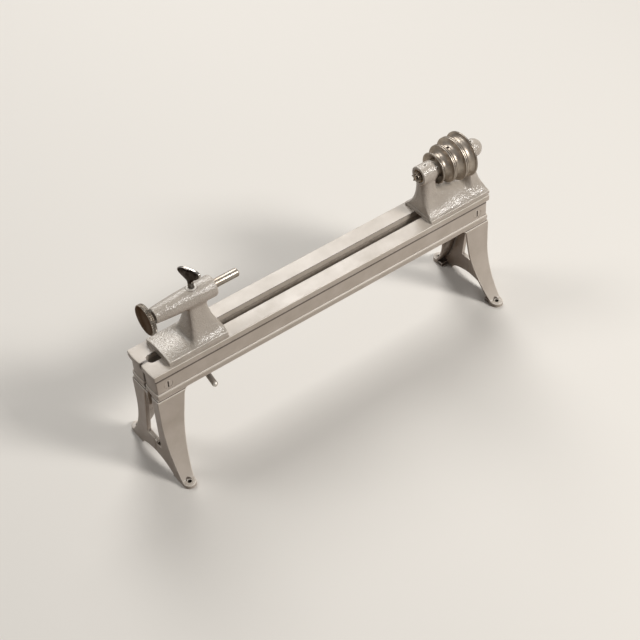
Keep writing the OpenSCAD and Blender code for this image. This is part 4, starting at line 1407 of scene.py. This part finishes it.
@dataclass
class Headstock:
    """The headstock casting with its two bearings, bolted down by a stud and nut."""

    # Base and columns.
    x0: float = 144.3
    x1: float = 229.5
    base_half: float = 23.4
    base_t: float = 3.5
    column_half: float = 9.7
    flare: float = 3.6
    end_flare: tuple[float, float] = (4.0, 9.3)
    outer_x: float = 13.4
    # Saddle: its crest, its turn into the columns and the room over it.
    crest_half: float = 4.5
    crest_inner: float = 29.2
    crest_outer: float = 15.8
    turn_in: float = 34.0
    turn_back: tuple[float, float] = (3.0, 10.0)
    room_lean: tuple[float, float] = (22.5, 14.0)
    # Bearing bosses, their bores and oil holes.
    boss1_end: float = 164.3
    boss1_r: float = 11.4
    boss2_x: float = 210.3
    boss2_r: float = 10.8
    dome_x: float = 223.36
    bore_r: tuple[float, float] = (8.05, 7.05)
    bore2_len: float = 15.0
    oil_x: tuple[float, float] = (153.5, 219.8)
    oil_r: float = 1.25
    # Room in which the pulley turns.
    swing_x: tuple[float, float] = (165.0, 208.0)
    swing_r: tuple[float, float] = (22.5, 31.0)
    # Rounding: columns at foot and top, room over the saddle, plan, edges, fillets of base
    # and bosses.
    column_r: tuple[float, float] = (5.0, 10.0)
    room_r: tuple[float, float] = (6.0, 4.0)
    plan_r: float = 1.5
    edge_r: float = 1.0
    fillet_r: tuple[float, float] = (3.0, 2.4)

    def body_field(self, x: Array, y: Array, z: Array) -> Array:
        """Distance to the columns and the saddle between them.

        A share that falls as a power from 1 at the foot to 0 at the top flares their ends
        and sides. Between the columns the sides turn by degrees into a straight roof from
        the crest to the base's edge, and turn back sharply at the outer column. The room
        between the columns, over the crest, is then taken out.

        Args:
            x, y, z: Places in millimetres.

        Returns:
            The distance to the skin, below zero inside.
        """
        share = np.clip((AXIS_Z - 4 - z) / (AXIS_Z - 6 - WAY_Z), 0, 1)
        share = np.power(share, self.flare)
        fall = (self.crest_inner - self.crest_outer) / (self.boss2_x - self.boss1_end)
        crest = WAY_Z + self.crest_inner - fall * (x - self.boss1_end)
        drop, run = crest - WAY_Z - self.base_t, self.base_half + 0.4 - self.crest_half
        roof = ((np.abs(y) - self.crest_half) * drop + (z - crest) * run) / np.hypot(drop, run)
        rise = np.clip((x - self.boss1_end) / self.turn_in, 0, 1)
        back = np.clip((self.boss2_x + self.turn_back[0] - x) / self.turn_back[1], 0, 1)
        turned_over = rise * rise * (3 - 2 * rise) * back * back * (3 - 2 * back)
        upright = np.abs(y) - blend(self.base_half, self.column_half, share)
        flank = blend(roof, upright, turned_over)
        inner = self.x0 + 0.5 - self.end_flare[0] * share - x
        outer = x - self.boss2_x - self.outer_x - self.end_flare[1] * share
        body = meet(flank, np.maximum(inner, outer), blend(*self.column_r, np.sqrt(share)))
        body = meet(body, z - AXIS_Z, EDGE)
        near = self.boss1_end - 0.5 + self.room_lean[0] * share - x
        far = x - self.boss2_x + self.room_lean[1] * share
        room = meet(meet(crest - z, near, self.room_r[0]), far, self.room_r[1])
        body = carve(body, room, self.room_r[0])
        plan = meet(slab(x, self.x0, self.x1), np.abs(y) - self.base_half, self.plan_r)
        return meet(body, plan, self.edge_r)

    def field(self, x: Array, y: Array, z: Array) -> Array:
        """Distance to the casting: body, base and bosses, less bores and the pulley's room.

        The inner boss is a cylinder and the outer one ends in a dome, the distance from a
        point on the centre line. The pulley's room is a cone round that line.

        Args:
            x, y, z: Places in millimetres.

        Returns:
            The distance to the casting's skin, below zero inside.
        """
        body = self.body_field(x, y, z)
        low = (self.x0, -self.base_half, WAY_Z - 5)
        high = (self.x1, self.base_half, WAY_Z + self.base_t)
        body = join(body, block(x, y, z, low, high, 0.9), self.fillet_r[0])
        reach = np.hypot(y, z - AXIS_Z)
        boss1 = meet(reach - self.boss1_r, slab(x, self.x0, self.boss1_end), self.edge_r)
        past = np.maximum(x - self.dome_x, 0)
        dome = np.sqrt(past**2 + y**2 + (z - AXIS_Z) ** 2) - self.boss2_r
        boss2 = meet(dome, self.boss2_x - x, self.edge_r)
        body = join(body, np.minimum(boss1, boss2), self.fillet_r[1])
        gap = slab(x, self.boss1_end + 0.1, self.boss2_x - 0.2)
        swing = np.interp(x, self.swing_x, self.swing_r)
        body = carve(body, meet(reach - swing, gap, 0.4), 0.6)
        bore1 = meet(reach - self.bore_r[0], x - self.boss1_end - 2, CRISP)
        deep = slab(x, self.boss2_x - 2, self.boss2_x + self.bore2_len)
        bore2 = meet(reach - self.bore_r[1], deep, CRISP)
        body = carve(body, np.minimum(bore1, bore2), EDGE)
        for at in self.oil_x:
            hole = meet(np.hypot(x - at, y) - self.oil_r, AXIS_Z - z, CRISP)
            body = carve(body, hole, EDGE)
        return meet(body, WAY_Z + SOLE - z, 0.4)

    def build(self, finishes: Finishes) -> None:
        """Builds the casting and its inner bush, and dresses the nodes that stay.

        Args:
            finishes: The lathe's materials.
        """
        casting = cast_piece("headstock", self.field, (142.5, -25.0, 145.5), (240.0, 25.0, 215.0))
        finishes.dress(casting, Paint.STOCK, "bed", "stock_paint", "headstock_casting")
        sleeve = bar_profile(self.x0 + 0.3, self.boss1_end, self.bore_r[0], 0.3, 6.05)
        bush = turned("inner_bush", sleeve, closed=True)
        finishes.dress(bush, Metal.BRONZE, "bed", "bronze", "inner_bearing_bush")
        finishes.keep(Metal.BRONZE, "outer_bearing_bush")
        finishes.keep(Metal.DULL, "thrust_button", "headstock_stud", "headstock_nut")
        finishes.keep(Metal.RAW, "headstock_clamp_plate")


@dataclass
class SpindleGroup:
    """Everything that turns in the headstock: spindle, cone pulley, set screw, spur centre."""

    pulley_x: float = 165.5
    rims: tuple[float, ...] = (18.7, 22.7, 26.2, 27.1)
    lands: tuple[float, ...] = (1.8, 3.6, 3.6, 1.8)
    land_line: tuple[float, ...] = (0.32, 0.43, 0.57, 0.68)
    line_depth: float = 0.19
    land_round: tuple[float, float] = (0.35, 0.4)
    groove_len: float = 10.6
    groove_depth: float = 4.4
    groove_low: float = 0.42
    bore: float = 6.0
    hub_r: float = 9.5
    dish: tuple[float, float] = (3.6, 3.8)
    screw_x: float = 185.95
    screw_hole_r: float = 2.2

    def land(self, start: float, rim: float, width: float) -> Array:
        """One land of the pulley: softened corners, and a line turned into its middle.

        Args:
            start: Where the land begins.
            rim: Its radius.
            width: Its width.

        Returns:
            Rows of distance along the axis and radius.
        """
        inset, fall = self.land_round
        line = [start + width * share for share in self.land_line]
        low = rim - self.line_depth * width
        return np.array([
            [start, rim - fall], [start + inset, rim], [line[0], rim], [line[1], low],
            [line[2], low], [line[3], rim], [start + width - inset, rim],
            [start + width, rim - fall],
        ])

    def groove(self, start: float, end: float, rim: float, next_rim: float) -> Array:
        """One belt groove, between two lands.

        It falls from the smaller rim by a quarter of a sine to its floor, and climbs to the
        larger one by one less a cosine.

        Args:
            start: Where the smaller land ends.
            end: Where the larger land starts.
            rim: Radius of the smaller land.
            next_rim: Radius of the larger land.

        Returns:
            Rows of distance along the axis and radius.
        """
        turn = np.linspace(0, np.pi / 2, 15)[1:-1]
        low, floor = start + (end - start) * self.groove_low, rim - self.groove_depth
        top, next_top = rim - self.land_round[0], next_rim - self.land_round[0]
        x1, r1 = start + (low - start) * (1 - np.cos(turn)), top - (top - floor) * np.sin(turn)
        x2 = low + (end - low) * np.sin(turn)
        r2 = floor + (next_top - floor) * (1 - np.cos(turn))
        return np.stack([np.concatenate([x1, x2]), np.concatenate([r1, r2])], -1)

    def outline(self) -> Array:
        """The pulley's profile: dished ends, and lands with round belt grooves between.

        Returns:
            Rows of distance along the axis and radius.
        """
        first, last = self.pulley_x, len(self.lands) - 1
        steps = np.cumsum((0.0,) + self.lands[:last])
        starts = first + steps + self.groove_len * np.arange(last + 1)
        end = starts[last] + self.lands[last]
        rows = [np.array([
            [first, self.bore], [first, self.hub_r], [first + self.dish[0], 10.6],
            [first + 0.2, self.rims[0] - 1.9], [first, self.rims[0] - 1.2],
        ])]
        for i, start in enumerate(starts):
            rows.append(self.land(start, self.rims[i], self.lands[i]))
            if i < last:
                stop = start + self.lands[i]
                rows.append(self.groove(stop, starts[i + 1], self.rims[i], self.rims[i + 1]))
        rows.append(np.array([
            [end, self.rims[last] - 1.6], [end - self.dish[1], 13.0], [end - self.dish[1], 11.0],
            [end, self.hub_r], [end, self.bore],
        ]))
        corners = np.concatenate(rows)
        return soften(corners, np.full(len(corners), 0.12), steps=3, closed=True)

    def build(self, finishes: Finishes) -> None:
        """Builds the pulley with its screw hole, and dresses the nodes that stay.

        Args:
            finishes: The lathe's materials.
        """
        pulley = turned("step_pulley", self.outline(), sides=192, closed=True)
        hole = bar_profile(AXIS_Z + 10, AXIS_Z + 40, self.screw_hole_r, 0.05)
        cutter = turned("hole_cutter", hole, (self.screw_x, 0, 0), Axis.UPRIGHT, 48)
        cut_away(pulley, cutter, 35.0)
        finishes.dress(pulley, Metal.PULLEY, "spindle", "pulley_steel", "cone_pulley")
        finishes.keep(Metal.BRIGHT, "spindle", "spur_centre")
        finishes.keep(Metal.DULL, "pulley_set_screw")


@dataclass
class Tailstock:
    """The tailstock casting: a crowned base, a flared pedestal and a bulged barrel."""

    x0: float = -205.6
    x1: float = -133.6
    base_half: float = 23.4
    base_t: float = 5.6
    crown: float = 2.9
    barrel_x: float = -204.0
    barrel_len: float = 73.5
    barrel_r: tuple[float, float] = (8.7, 12.2)
    bulge: float = 1.1
    pedestal: tuple[float, float, float] = (-166.4, -143.6, 8.8)
    flare: float = 2.3
    lock_x: float = -155.8
    lock_boss_r: float = 5.6
    lock_bore_r: float = 3.3
    quill_bore_r: float = 4.85
    quill_bore_x: float = -193.5
    screw_bore_r: float = 3.05
    tongue_half: float = 6.0
    # Rounding of plan, edges and the barrel's nose, and fillets of pedestal and barrel.
    plan_r: float = 1.2
    edge_r: float = 1.0
    nose_r: float = 3.4
    base_fillet_r: float = 4.5
    barrel_fillet_r: float = 3.0

    def radius(self, x: Array) -> Array:
        """Radius of the barrel: a straight taper plus a bulge that is fullest near its middle.

        The bulge is a parabola over the barrel's length, lowered in step with the distance
        from its wheel end.

        Args:
            x: Places along the centre line.

        Returns:
            The radius at each.
        """
        t = np.clip((x - self.barrel_x) / self.barrel_len, 0, 1)
        taper = blend(self.barrel_r[1], self.barrel_r[0], t)
        return taper + self.bulge * 4 * t * (1 - t) * (1 - 0.3 * t)

    def field(self, x: Array, y: Array, z: Array) -> Array:
        """Distance to the casting: base, pedestal, barrel and lock boss, less the bores.

        The base is crowned, by the square of the distance from its middle line. The
        pedestal is a flared column, the barrel a round body of changing radius.

        Args:
            x, y, z: Places in millimetres.

        Returns:
            The distance to the casting's skin, below zero inside.
        """
        crown = z - (WAY_Z + self.base_t + self.crown * (1 - (y / self.base_half) ** 2))
        plan = meet(slab(x, self.x0, self.x1), np.abs(y) - self.base_half, self.plan_r)
        base = meet(crown, plan, self.edge_r)
        foot = (self.pedestal[0] - 9.0, self.x1 + 6, self.base_half)
        column = flared_column(x, y, z, foot, self.pedestal, self.flare)
        column = meet(meet(column, z - AXIS_Z, EDGE), plan, self.plan_r)
        body = join(base, column, self.base_fillet_r)
        reach = np.hypot(y, z - AXIS_Z)
        barrel = meet(reach - self.radius(x), self.barrel_x - x, self.edge_r)
        barrel = meet(barrel, x - self.barrel_x - self.barrel_len, self.nose_r)
        body = join(body, barrel, self.barrel_fillet_r)
        from_lock = np.hypot(x - self.lock_x, y)
        top = AXIS_Z + float(self.radius(np.array(self.lock_x))) + 0.1
        boss = meet(meet(from_lock - self.lock_boss_r, z - top, 0.7), AXIS_Z - z, EDGE)
        body = join(body, boss, self.edge_r)
        bore = meet(reach - self.quill_bore_r, self.quill_bore_x - x, CRISP)
        lock_bore = meet(from_lock - self.lock_bore_r, AXIS_Z - z, CRISP)
        for hole in (bore, reach - self.screw_bore_r, lock_bore):
            body = carve(body, hole, EDGE)
        low = (self.pedestal[0] - 10, -self.tongue_half, WAY_Z - 5)
        tongue = block(x, y, z, low, (self.x1 - 4, self.tongue_half, WAY_Z + 2), EDGE)
        return np.minimum(meet(body, WAY_Z + SOLE - z, 0.4), tongue)

    def build(self, finishes: Finishes) -> None:
        """Builds the casting and dresses the nodes that ride with it.

        Args:
            finishes: The lathe's materials.
        """
        low, high = (-207.0, -25.0, 141.5), (-129.0, 25.0, 217.5)
        casting = cast_piece("tailstock_body", self.field, low, high)
        finishes.dress(casting, Paint.STOCK, "tailstock", "stock_paint", "tailstock_casting")
        finishes.keep(Metal.DULL, "tailstock_stud", "quill_key")
        finishes.keep(Metal.RAW, "tailstock_clamp_plate")


@dataclass
class QuillGroup:
    """Quill, feed screw and handwheel."""

    quill: tuple[float, float, float] = (-167.9, -99.9, 4.765)
    bore_r: float = 3.0
    wheel_x: float = -214.5
    wheel_t: float = 5.6
    wheel_r: float = 17.4
    neck_end: float = -202.8
    neck_r: float = 4.8
    teeth: int = 46
    knurl_depth: float = 0.75
    rim_points: int = 13

    def wheel_profile(self) -> Array:
        """The handwheel's profile: a plain front, a fine stepped rim and a neck behind.

        Returns:
            Rows of distance along the axis and radius.
        """
        x, r, t, neck = self.wheel_x, self.wheel_r, self.wheel_t, self.neck_r
        rim = np.linspace(x + 0.7, x + t - 0.7, self.rim_points)
        front = [[x + 0.12, 0.0], [x + 0.02, 6.0], [x, r - 1.6], [x + 0.25, r - 0.5]]
        back = [
            [x + t - 0.25, r - 0.5], [x + t, r - 1.4], [x + t, 8.0], [x + t + 0.4, neck + 1.0],
            [x + t + 1.2, neck], [self.neck_end - 0.4, neck], [self.neck_end, neck - 0.4],
            [self.neck_end, 0.0],
        ]
        return np.concatenate([front, np.stack([rim, np.full(len(rim), r)], -1), back])

    def wheel(self) -> Piece:
        """The handwheel: its profile carried round, with a diamond knurl pressed into the rim.

        The rim's radius falls by the knurl's depth where the lower of two saw-edged waves,
        which lean opposite ways, is near zero, so that small diamonds are left standing.

        Returns:
            The linked object.
        """
        x, r, t = self.wheel_x, self.wheel_r, self.wheel_t
        profile = self.wheel_profile()
        sides = self.teeth * 10
        angle = np.linspace(0, 2 * np.pi, sides, endpoint=False)
        along = np.broadcast_to(profile[:, :1], (len(profile), sides))
        lean = (along - x - t / 2) * self.teeth / (2 * np.pi * r)
        tooth = angle * self.teeth / (2 * np.pi)
        waves = [np.abs(((tooth + way * lean) % 1.0) * 2 - 1) for way in (-1, 1)]
        press = self.knurl_depth * (1 - np.clip(np.minimum(*waves) * 2.2, 0, 1))
        on_rim = (profile[:, 1:] >= r - 0.01) & (np.abs(along - x - t / 2) < t / 2 - 0.69)
        radius = profile[:, 1:] - press * on_rim
        across, up = radius * np.cos(angle), radius * np.sin(angle)
        points = place(along, across, up, CENTRE_LINE, Axis.CENTRE)
        worn = (profile[:, 1] < r - 0.6) * np.where(profile[:, 0] > x + t - 0.1, 0.8, 1.0)
        tone_marks = np.clip(np.repeat(worn, sides) + 0.5 * (press * on_rim).ravel(), 0, 1)
        quads = grid_faces(len(profile), sides, False, True)
        return write_mesh("hand_wheel", points, [quads], 28, {"patina": tone_marks})

    def build(self, finishes: Finishes) -> None:
        """Builds the quill and wheel and dresses the rest.

        Args:
            finishes: The lathe's materials.
        """
        x0, x1, r = self.quill
        profile = rounded(
            [
                [x0, self.bore_r, 0], [x0, r - 0.4, 0.3], [x0 + 0.4, r, 0.3], [x1 - 0.9, r, 0.5],
                [x1, r - 0.9, 0.5], [x1, 1.9, 0.3], [x1 - 2.0, 0, 0], [x1 - 8, 0, 0],
                [x1 - 17, self.bore_r, 0],
            ],
            closed=True,
        )
        quill = turned("quill_bar", profile, sides=96, closed=True)
        finishes.dress(quill, Metal.BRIGHT, "quill", "bright_steel", "quill")
        finishes.dress(self.wheel(), Metal.BRIGHT, "handwheel", "bright_steel", "handwheel")
        finishes.keep(Metal.DULL, "feed_screw", "handwheel_pin")


@dataclass
class LockScrew:
    """The spade-headed thumb screw that locks the quill."""

    x: float = -155.8
    foot_z: float = 206.8
    spade_z: float = 220.4
    spade_h: float = 18.4
    spade_w: float = 27.6
    spade_t: float = 4.6
    tip: float = 0.72
    shank_r: float = 3.175
    turn: float = 115.0
    sides: int = 120
    levels: int = 60
    crowding: float = 1.6
    wing: tuple[float, float] = (0.1, 0.88)
    wing_power: float = 1.4
    squareness: tuple[float, float] = (2.0, 3.2)

    def spade(self) -> tuple[Array, Array]:
        """The spade: rings round an upright axis, wide across and thin through.

        The rings crowd towards the top as a power of the height left. Up to the tips the
        half width grows as a power of a quarter sine, and above them it closes as an
        ellipse. The half thickness falls with the cube of the height left, from the neck's
        to its own, and closes in a round edge. Each level ring is a superellipse, round at
        the neck and flat faced above. The patina covers the faces and leaves the edges
        bright.

        Returns:
            Rings of points, and the patina at each.
        """
        s = 1 - (1 - np.linspace(0, 1, self.levels)) ** self.crowding
        rise = np.clip(s / self.tip, 0, 1)
        fall = np.clip((s - self.tip) / (1 - self.tip), 0, 1)
        wide = self.spade_w / 2 - self.shank_r
        climb = np.clip((rise - self.wing[0]) / self.wing[1], 0, 1)
        half_w = self.shank_r + wide * np.sin(np.pi / 2 * climb) ** self.wing_power
        half_w = half_w * np.sqrt(np.maximum(1 - fall**2, 0))
        half_t = blend(self.shank_r, self.spade_t / 2, (1 - rise) ** 3)
        half_t = half_t * np.sqrt(np.maximum(1 - fall**10, 0))
        angle = np.linspace(0, 2 * np.pi, self.sides, endpoint=False)[None]
        cos, sin = np.cos(angle), np.sin(angle)
        power = 2 / blend(*self.squareness, (1 - rise) ** 2)[:, None]
        u = half_w[:, None] * np.sign(cos) * np.abs(cos) ** power
        v = half_t[:, None] * np.sign(sin) * np.abs(sin) ** power
        z = np.broadcast_to(self.spade_z + self.spade_h * s[:, None], u.shape)
        a = np.radians(self.turn)
        x, y = self.x + u * np.cos(a) - v * np.sin(a), u * np.sin(a) + v * np.cos(a)
        rim = np.abs(v) / np.maximum(half_t[:, None], 1e-6)
        patina = np.clip((rim - 0.5) * 5, 0, 1) * np.clip((1 - fall[:, None]) * 9, 0, 1)
        return np.stack([x, y, z], -1), patina

    def build(self, finishes: Finishes) -> None:
        """Builds the screw in one piece: spade, neck and shank.

        Args:
            finishes: The lathe's materials.
        """
        spade, faces = self.spade()
        foot, r = self.foot_z, self.shank_r
        stem = rounded([
            [foot, 0, 0], [foot, r - 0.5, 0.3], [foot + 0.5, r, 0.3], [self.spade_z - 0.2, r, 0],
        ])
        angle = np.linspace(0, 2 * np.pi, self.sides, endpoint=False) + np.radians(self.turn)
        x, y = self.x + stem[:, 1:] * np.cos(angle), stem[:, 1:] * np.sin(angle)
        rings = np.stack([x, y, np.broadcast_to(stem[:, :1], x.shape)], -1)
        grid = np.concatenate([rings, spade])
        patina = np.concatenate([np.full(x.shape, 0.8), faces])
        quads = grid_faces(len(grid), self.sides, False, True)
        screw = write_mesh("lock_screw", grid.reshape(-1, 3), [quads], 35, {"patina": patina})
        finishes.dress(screw, Metal.PLATED, "thumb_screw", "plated_steel", "thumb_screw")


@dataclass
class Clamp:
    """The nut and lever that clamp the tailstock from below."""

    shank_r: float = 2.5
    lever_r: float = 3.3
    reach: float = 35.0
    angle: float = 7.5

    def lever(self) -> Piece:
        """The lever: a stout bar with a round end, on a thinner shank in the nut's side.

        Its profile is turned along X from the nut's middle, and its mesh is then swung to
        the lever's own direction and moved to the nut.

        Returns:
            The linked object.
        """
        low, high = (np.array(v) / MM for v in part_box("clamp_nut"))
        middle = (low + high) / 2
        nut_r = (high[0] - low[0]) / 2
        end = np.linspace(0, np.pi / 2, 13)
        x, r = self.reach - self.lever_r * (1 - np.sin(end)), self.lever_r * np.cos(end)
        root = [
            [nut_r - 3.0, 0.0], [nut_r - 3.0, self.shank_r], [nut_r + 0.5, self.shank_r],
            [nut_r + 1.1, self.lever_r],
        ]
        profile = np.concatenate([root, np.stack([x, r], -1)])
        bar = turned("clamp_bar", profile, (0, 0, 0), sides=64)
        swing = Matrix.Rotation(np.radians(-90.0 - self.angle), 4, "Z")
        bar.data.transform(Matrix.Translation([v * MM for v in middle]) @ swing)
        return bar

    def build(self, finishes: Finishes) -> None:
        """Builds the lever and dresses the nut."""
        finishes.keep(Metal.DULL, "clamp_nut")
        finishes.dress(self.lever(), Metal.LEVER, "clamp_lever", "bright_steel", "clamp_lever")


@dataclass(frozen=True)
class Lamp:
    """A soft box that is turned to the lathe, in metres and watts."""

    name: str
    at: tuple[float, float, float]
    size: tuple[float, float]
    power: float
    tint: tuple[float, float, float]

    def hang(self) -> None:
        """Hangs the lamp in its place, facing the middle of the floor."""
        data = bpy.data.lights.new(self.name, "AREA")
        data.shape = "RECTANGLE"
        data.size, data.size_y = self.size
        data.energy, data.color = self.power, self.tint
        lamp = bpy.data.objects.new(self.name, data)
        bpy.context.scene.collection.objects.link(lamp)
        back = np.array(self.at) / np.linalg.norm(self.at)
        side = np.cross([0, 1.0, 0], back)
        side /= np.linalg.norm(side)
        turn = Matrix(np.stack([side, np.cross(back, side), back], 1).tolist()).to_4x4()
        lamp.matrix_world = Matrix.Translation(self.at) @ turn


@dataclass
class Studio:
    """Pale floor, soft lamps and a camera at the photograph's angle."""

    camera_at: tuple[float, float, float] = (-660.9, -977.6, 1203.4)
    right: tuple[float, float, float] = (0.79866, -0.59954, -0.05191)
    up: tuple[float, float, float] = (0.44635, 0.53231, 0.71932)
    forward: tuple[float, float, float] = (0.40363, 0.59766, -0.69274)
    lens: float = 81.43
    lamps: tuple[Lamp, ...] = (
        Lamp("key", (0.95, 1.60, 1.95), (0.8, 1.8), 38.0, (1.0, 0.985, 0.96)),
        Lamp("left", (-1.15, 1.30, 2.30), (0.9, 0.9), 17.0, (1.0, 0.99, 0.97)),
        Lamp("front", (1.10, -1.80, 1.62), (0.7, 0.55), 50.0, (1.0, 0.98, 0.95)),
    )
    floor_half: float = 6.0
    floor_seen: Colour = (224, 220, 214)
    floor_bounce: Colour = (108, 80, 56)
    fade: tuple[float, float] = (1.3, 4.5)
    sky: tuple[float, float, float, float] = (0.86, 0.85, 0.84, 1.0)
    sky_strength: tuple[float, float, float] = (0.12, 0.42, 0.9)

    def build(self) -> None:
        """Places floor, lamps, world and camera."""
        self.floor()
        for lamp in self.lamps:
            lamp.hang()
        self.world()
        camera = bpy.data.objects.new("camera", bpy.data.cameras.new("camera"))
        bpy.context.scene.collection.objects.link(camera)
        turn = Matrix([self.right, self.up, [-v for v in self.forward]]).transposed().to_4x4()
        camera.matrix_world = Matrix.Translation([v * MM for v in self.camera_at]) @ turn
        camera.data.lens = self.lens
        camera.data.clip_end = 50.0
        bpy.context.scene.camera = camera
        bpy.context.scene.view_settings.view_transform = "Standard"
        log.info("studio ready")

    def floor(self) -> None:
        """A wide plain floor, pale where it is looked at and quieter in the light it throws.

        Far from the lathe, where no lamp reaches, it takes the world's own tone for the
        camera, so that it ends without a line.
        """
        h = self.floor_half
        mesh = bpy.data.meshes.new("floor")
        mesh.from_pydata([(-h, -h, 0), (h, -h, 0), (h, h, 0), (-h, h, 0)], [], [[0, 1, 2, 3]])
        floor = bpy.data.objects.new("floor", mesh)
        bpy.context.scene.collection.objects.link(floor)
        material, tree, shader = new_material("floor")
        bounce, seen = linear(*self.floor_bounce), linear(*self.floor_seen)
        tree.links.new(mixed(tree, seen_rays(tree), bounce, seen), shader.inputs["Base Color"])
        shader.inputs["Roughness"].default_value = 0.7
        far = node(tree, "ShaderNodeVectorMath", operation="LENGTH")
        at = tree.nodes.new("ShaderNodeTexCoord").outputs["Object"]
        tree.links.new(at, far.inputs[0])
        faded = ranged(tree, far.outputs["Value"], 0, self.sky_strength[2], *self.fade)
        glow = reckoned(tree, "MULTIPLY", faded, ray_kind(tree, "Is Camera Ray"))
        tree.links.new(glow, shader.inputs["Emission Strength"])
        shader.inputs["Emission Color"].default_value = self.sky
        floor.data.materials.append(material)

    def world(self) -> None:
        """The world: dim as a light, brighter in metal and pale behind the floor."""
        world = bpy.data.worlds.new("studio")
        world.use_nodes = True
        tree = world.node_tree
        back = tree.nodes["Background"]
        back.inputs["Color"].default_value = self.sky
        dim, shown, behind = self.sky_strength
        in_metal = ranged(tree, seen_rays(tree), dim, shown)
        looked_at = ranged(tree, ray_kind(tree, "Is Camera Ray"), 0, behind)
        strength = reckoned(tree, "MAXIMUM", in_metal, looked_at)
        tree.links.new(strength, back.inputs["Strength"])
        bpy.context.scene.world = world


def main() -> None:
    """Builds every sub-assembly in order and dresses it."""
    finishes = Finishes()
    groups = Bed(), Headstock(), SpindleGroup(), Tailstock(), QuillGroup(), LockScrew(), Clamp()
    for group in groups:
        group.build(finishes)
        log.info("%s is done", type(group).__name__)
    Studio().build()


if __name__ == "__main__":
    main()
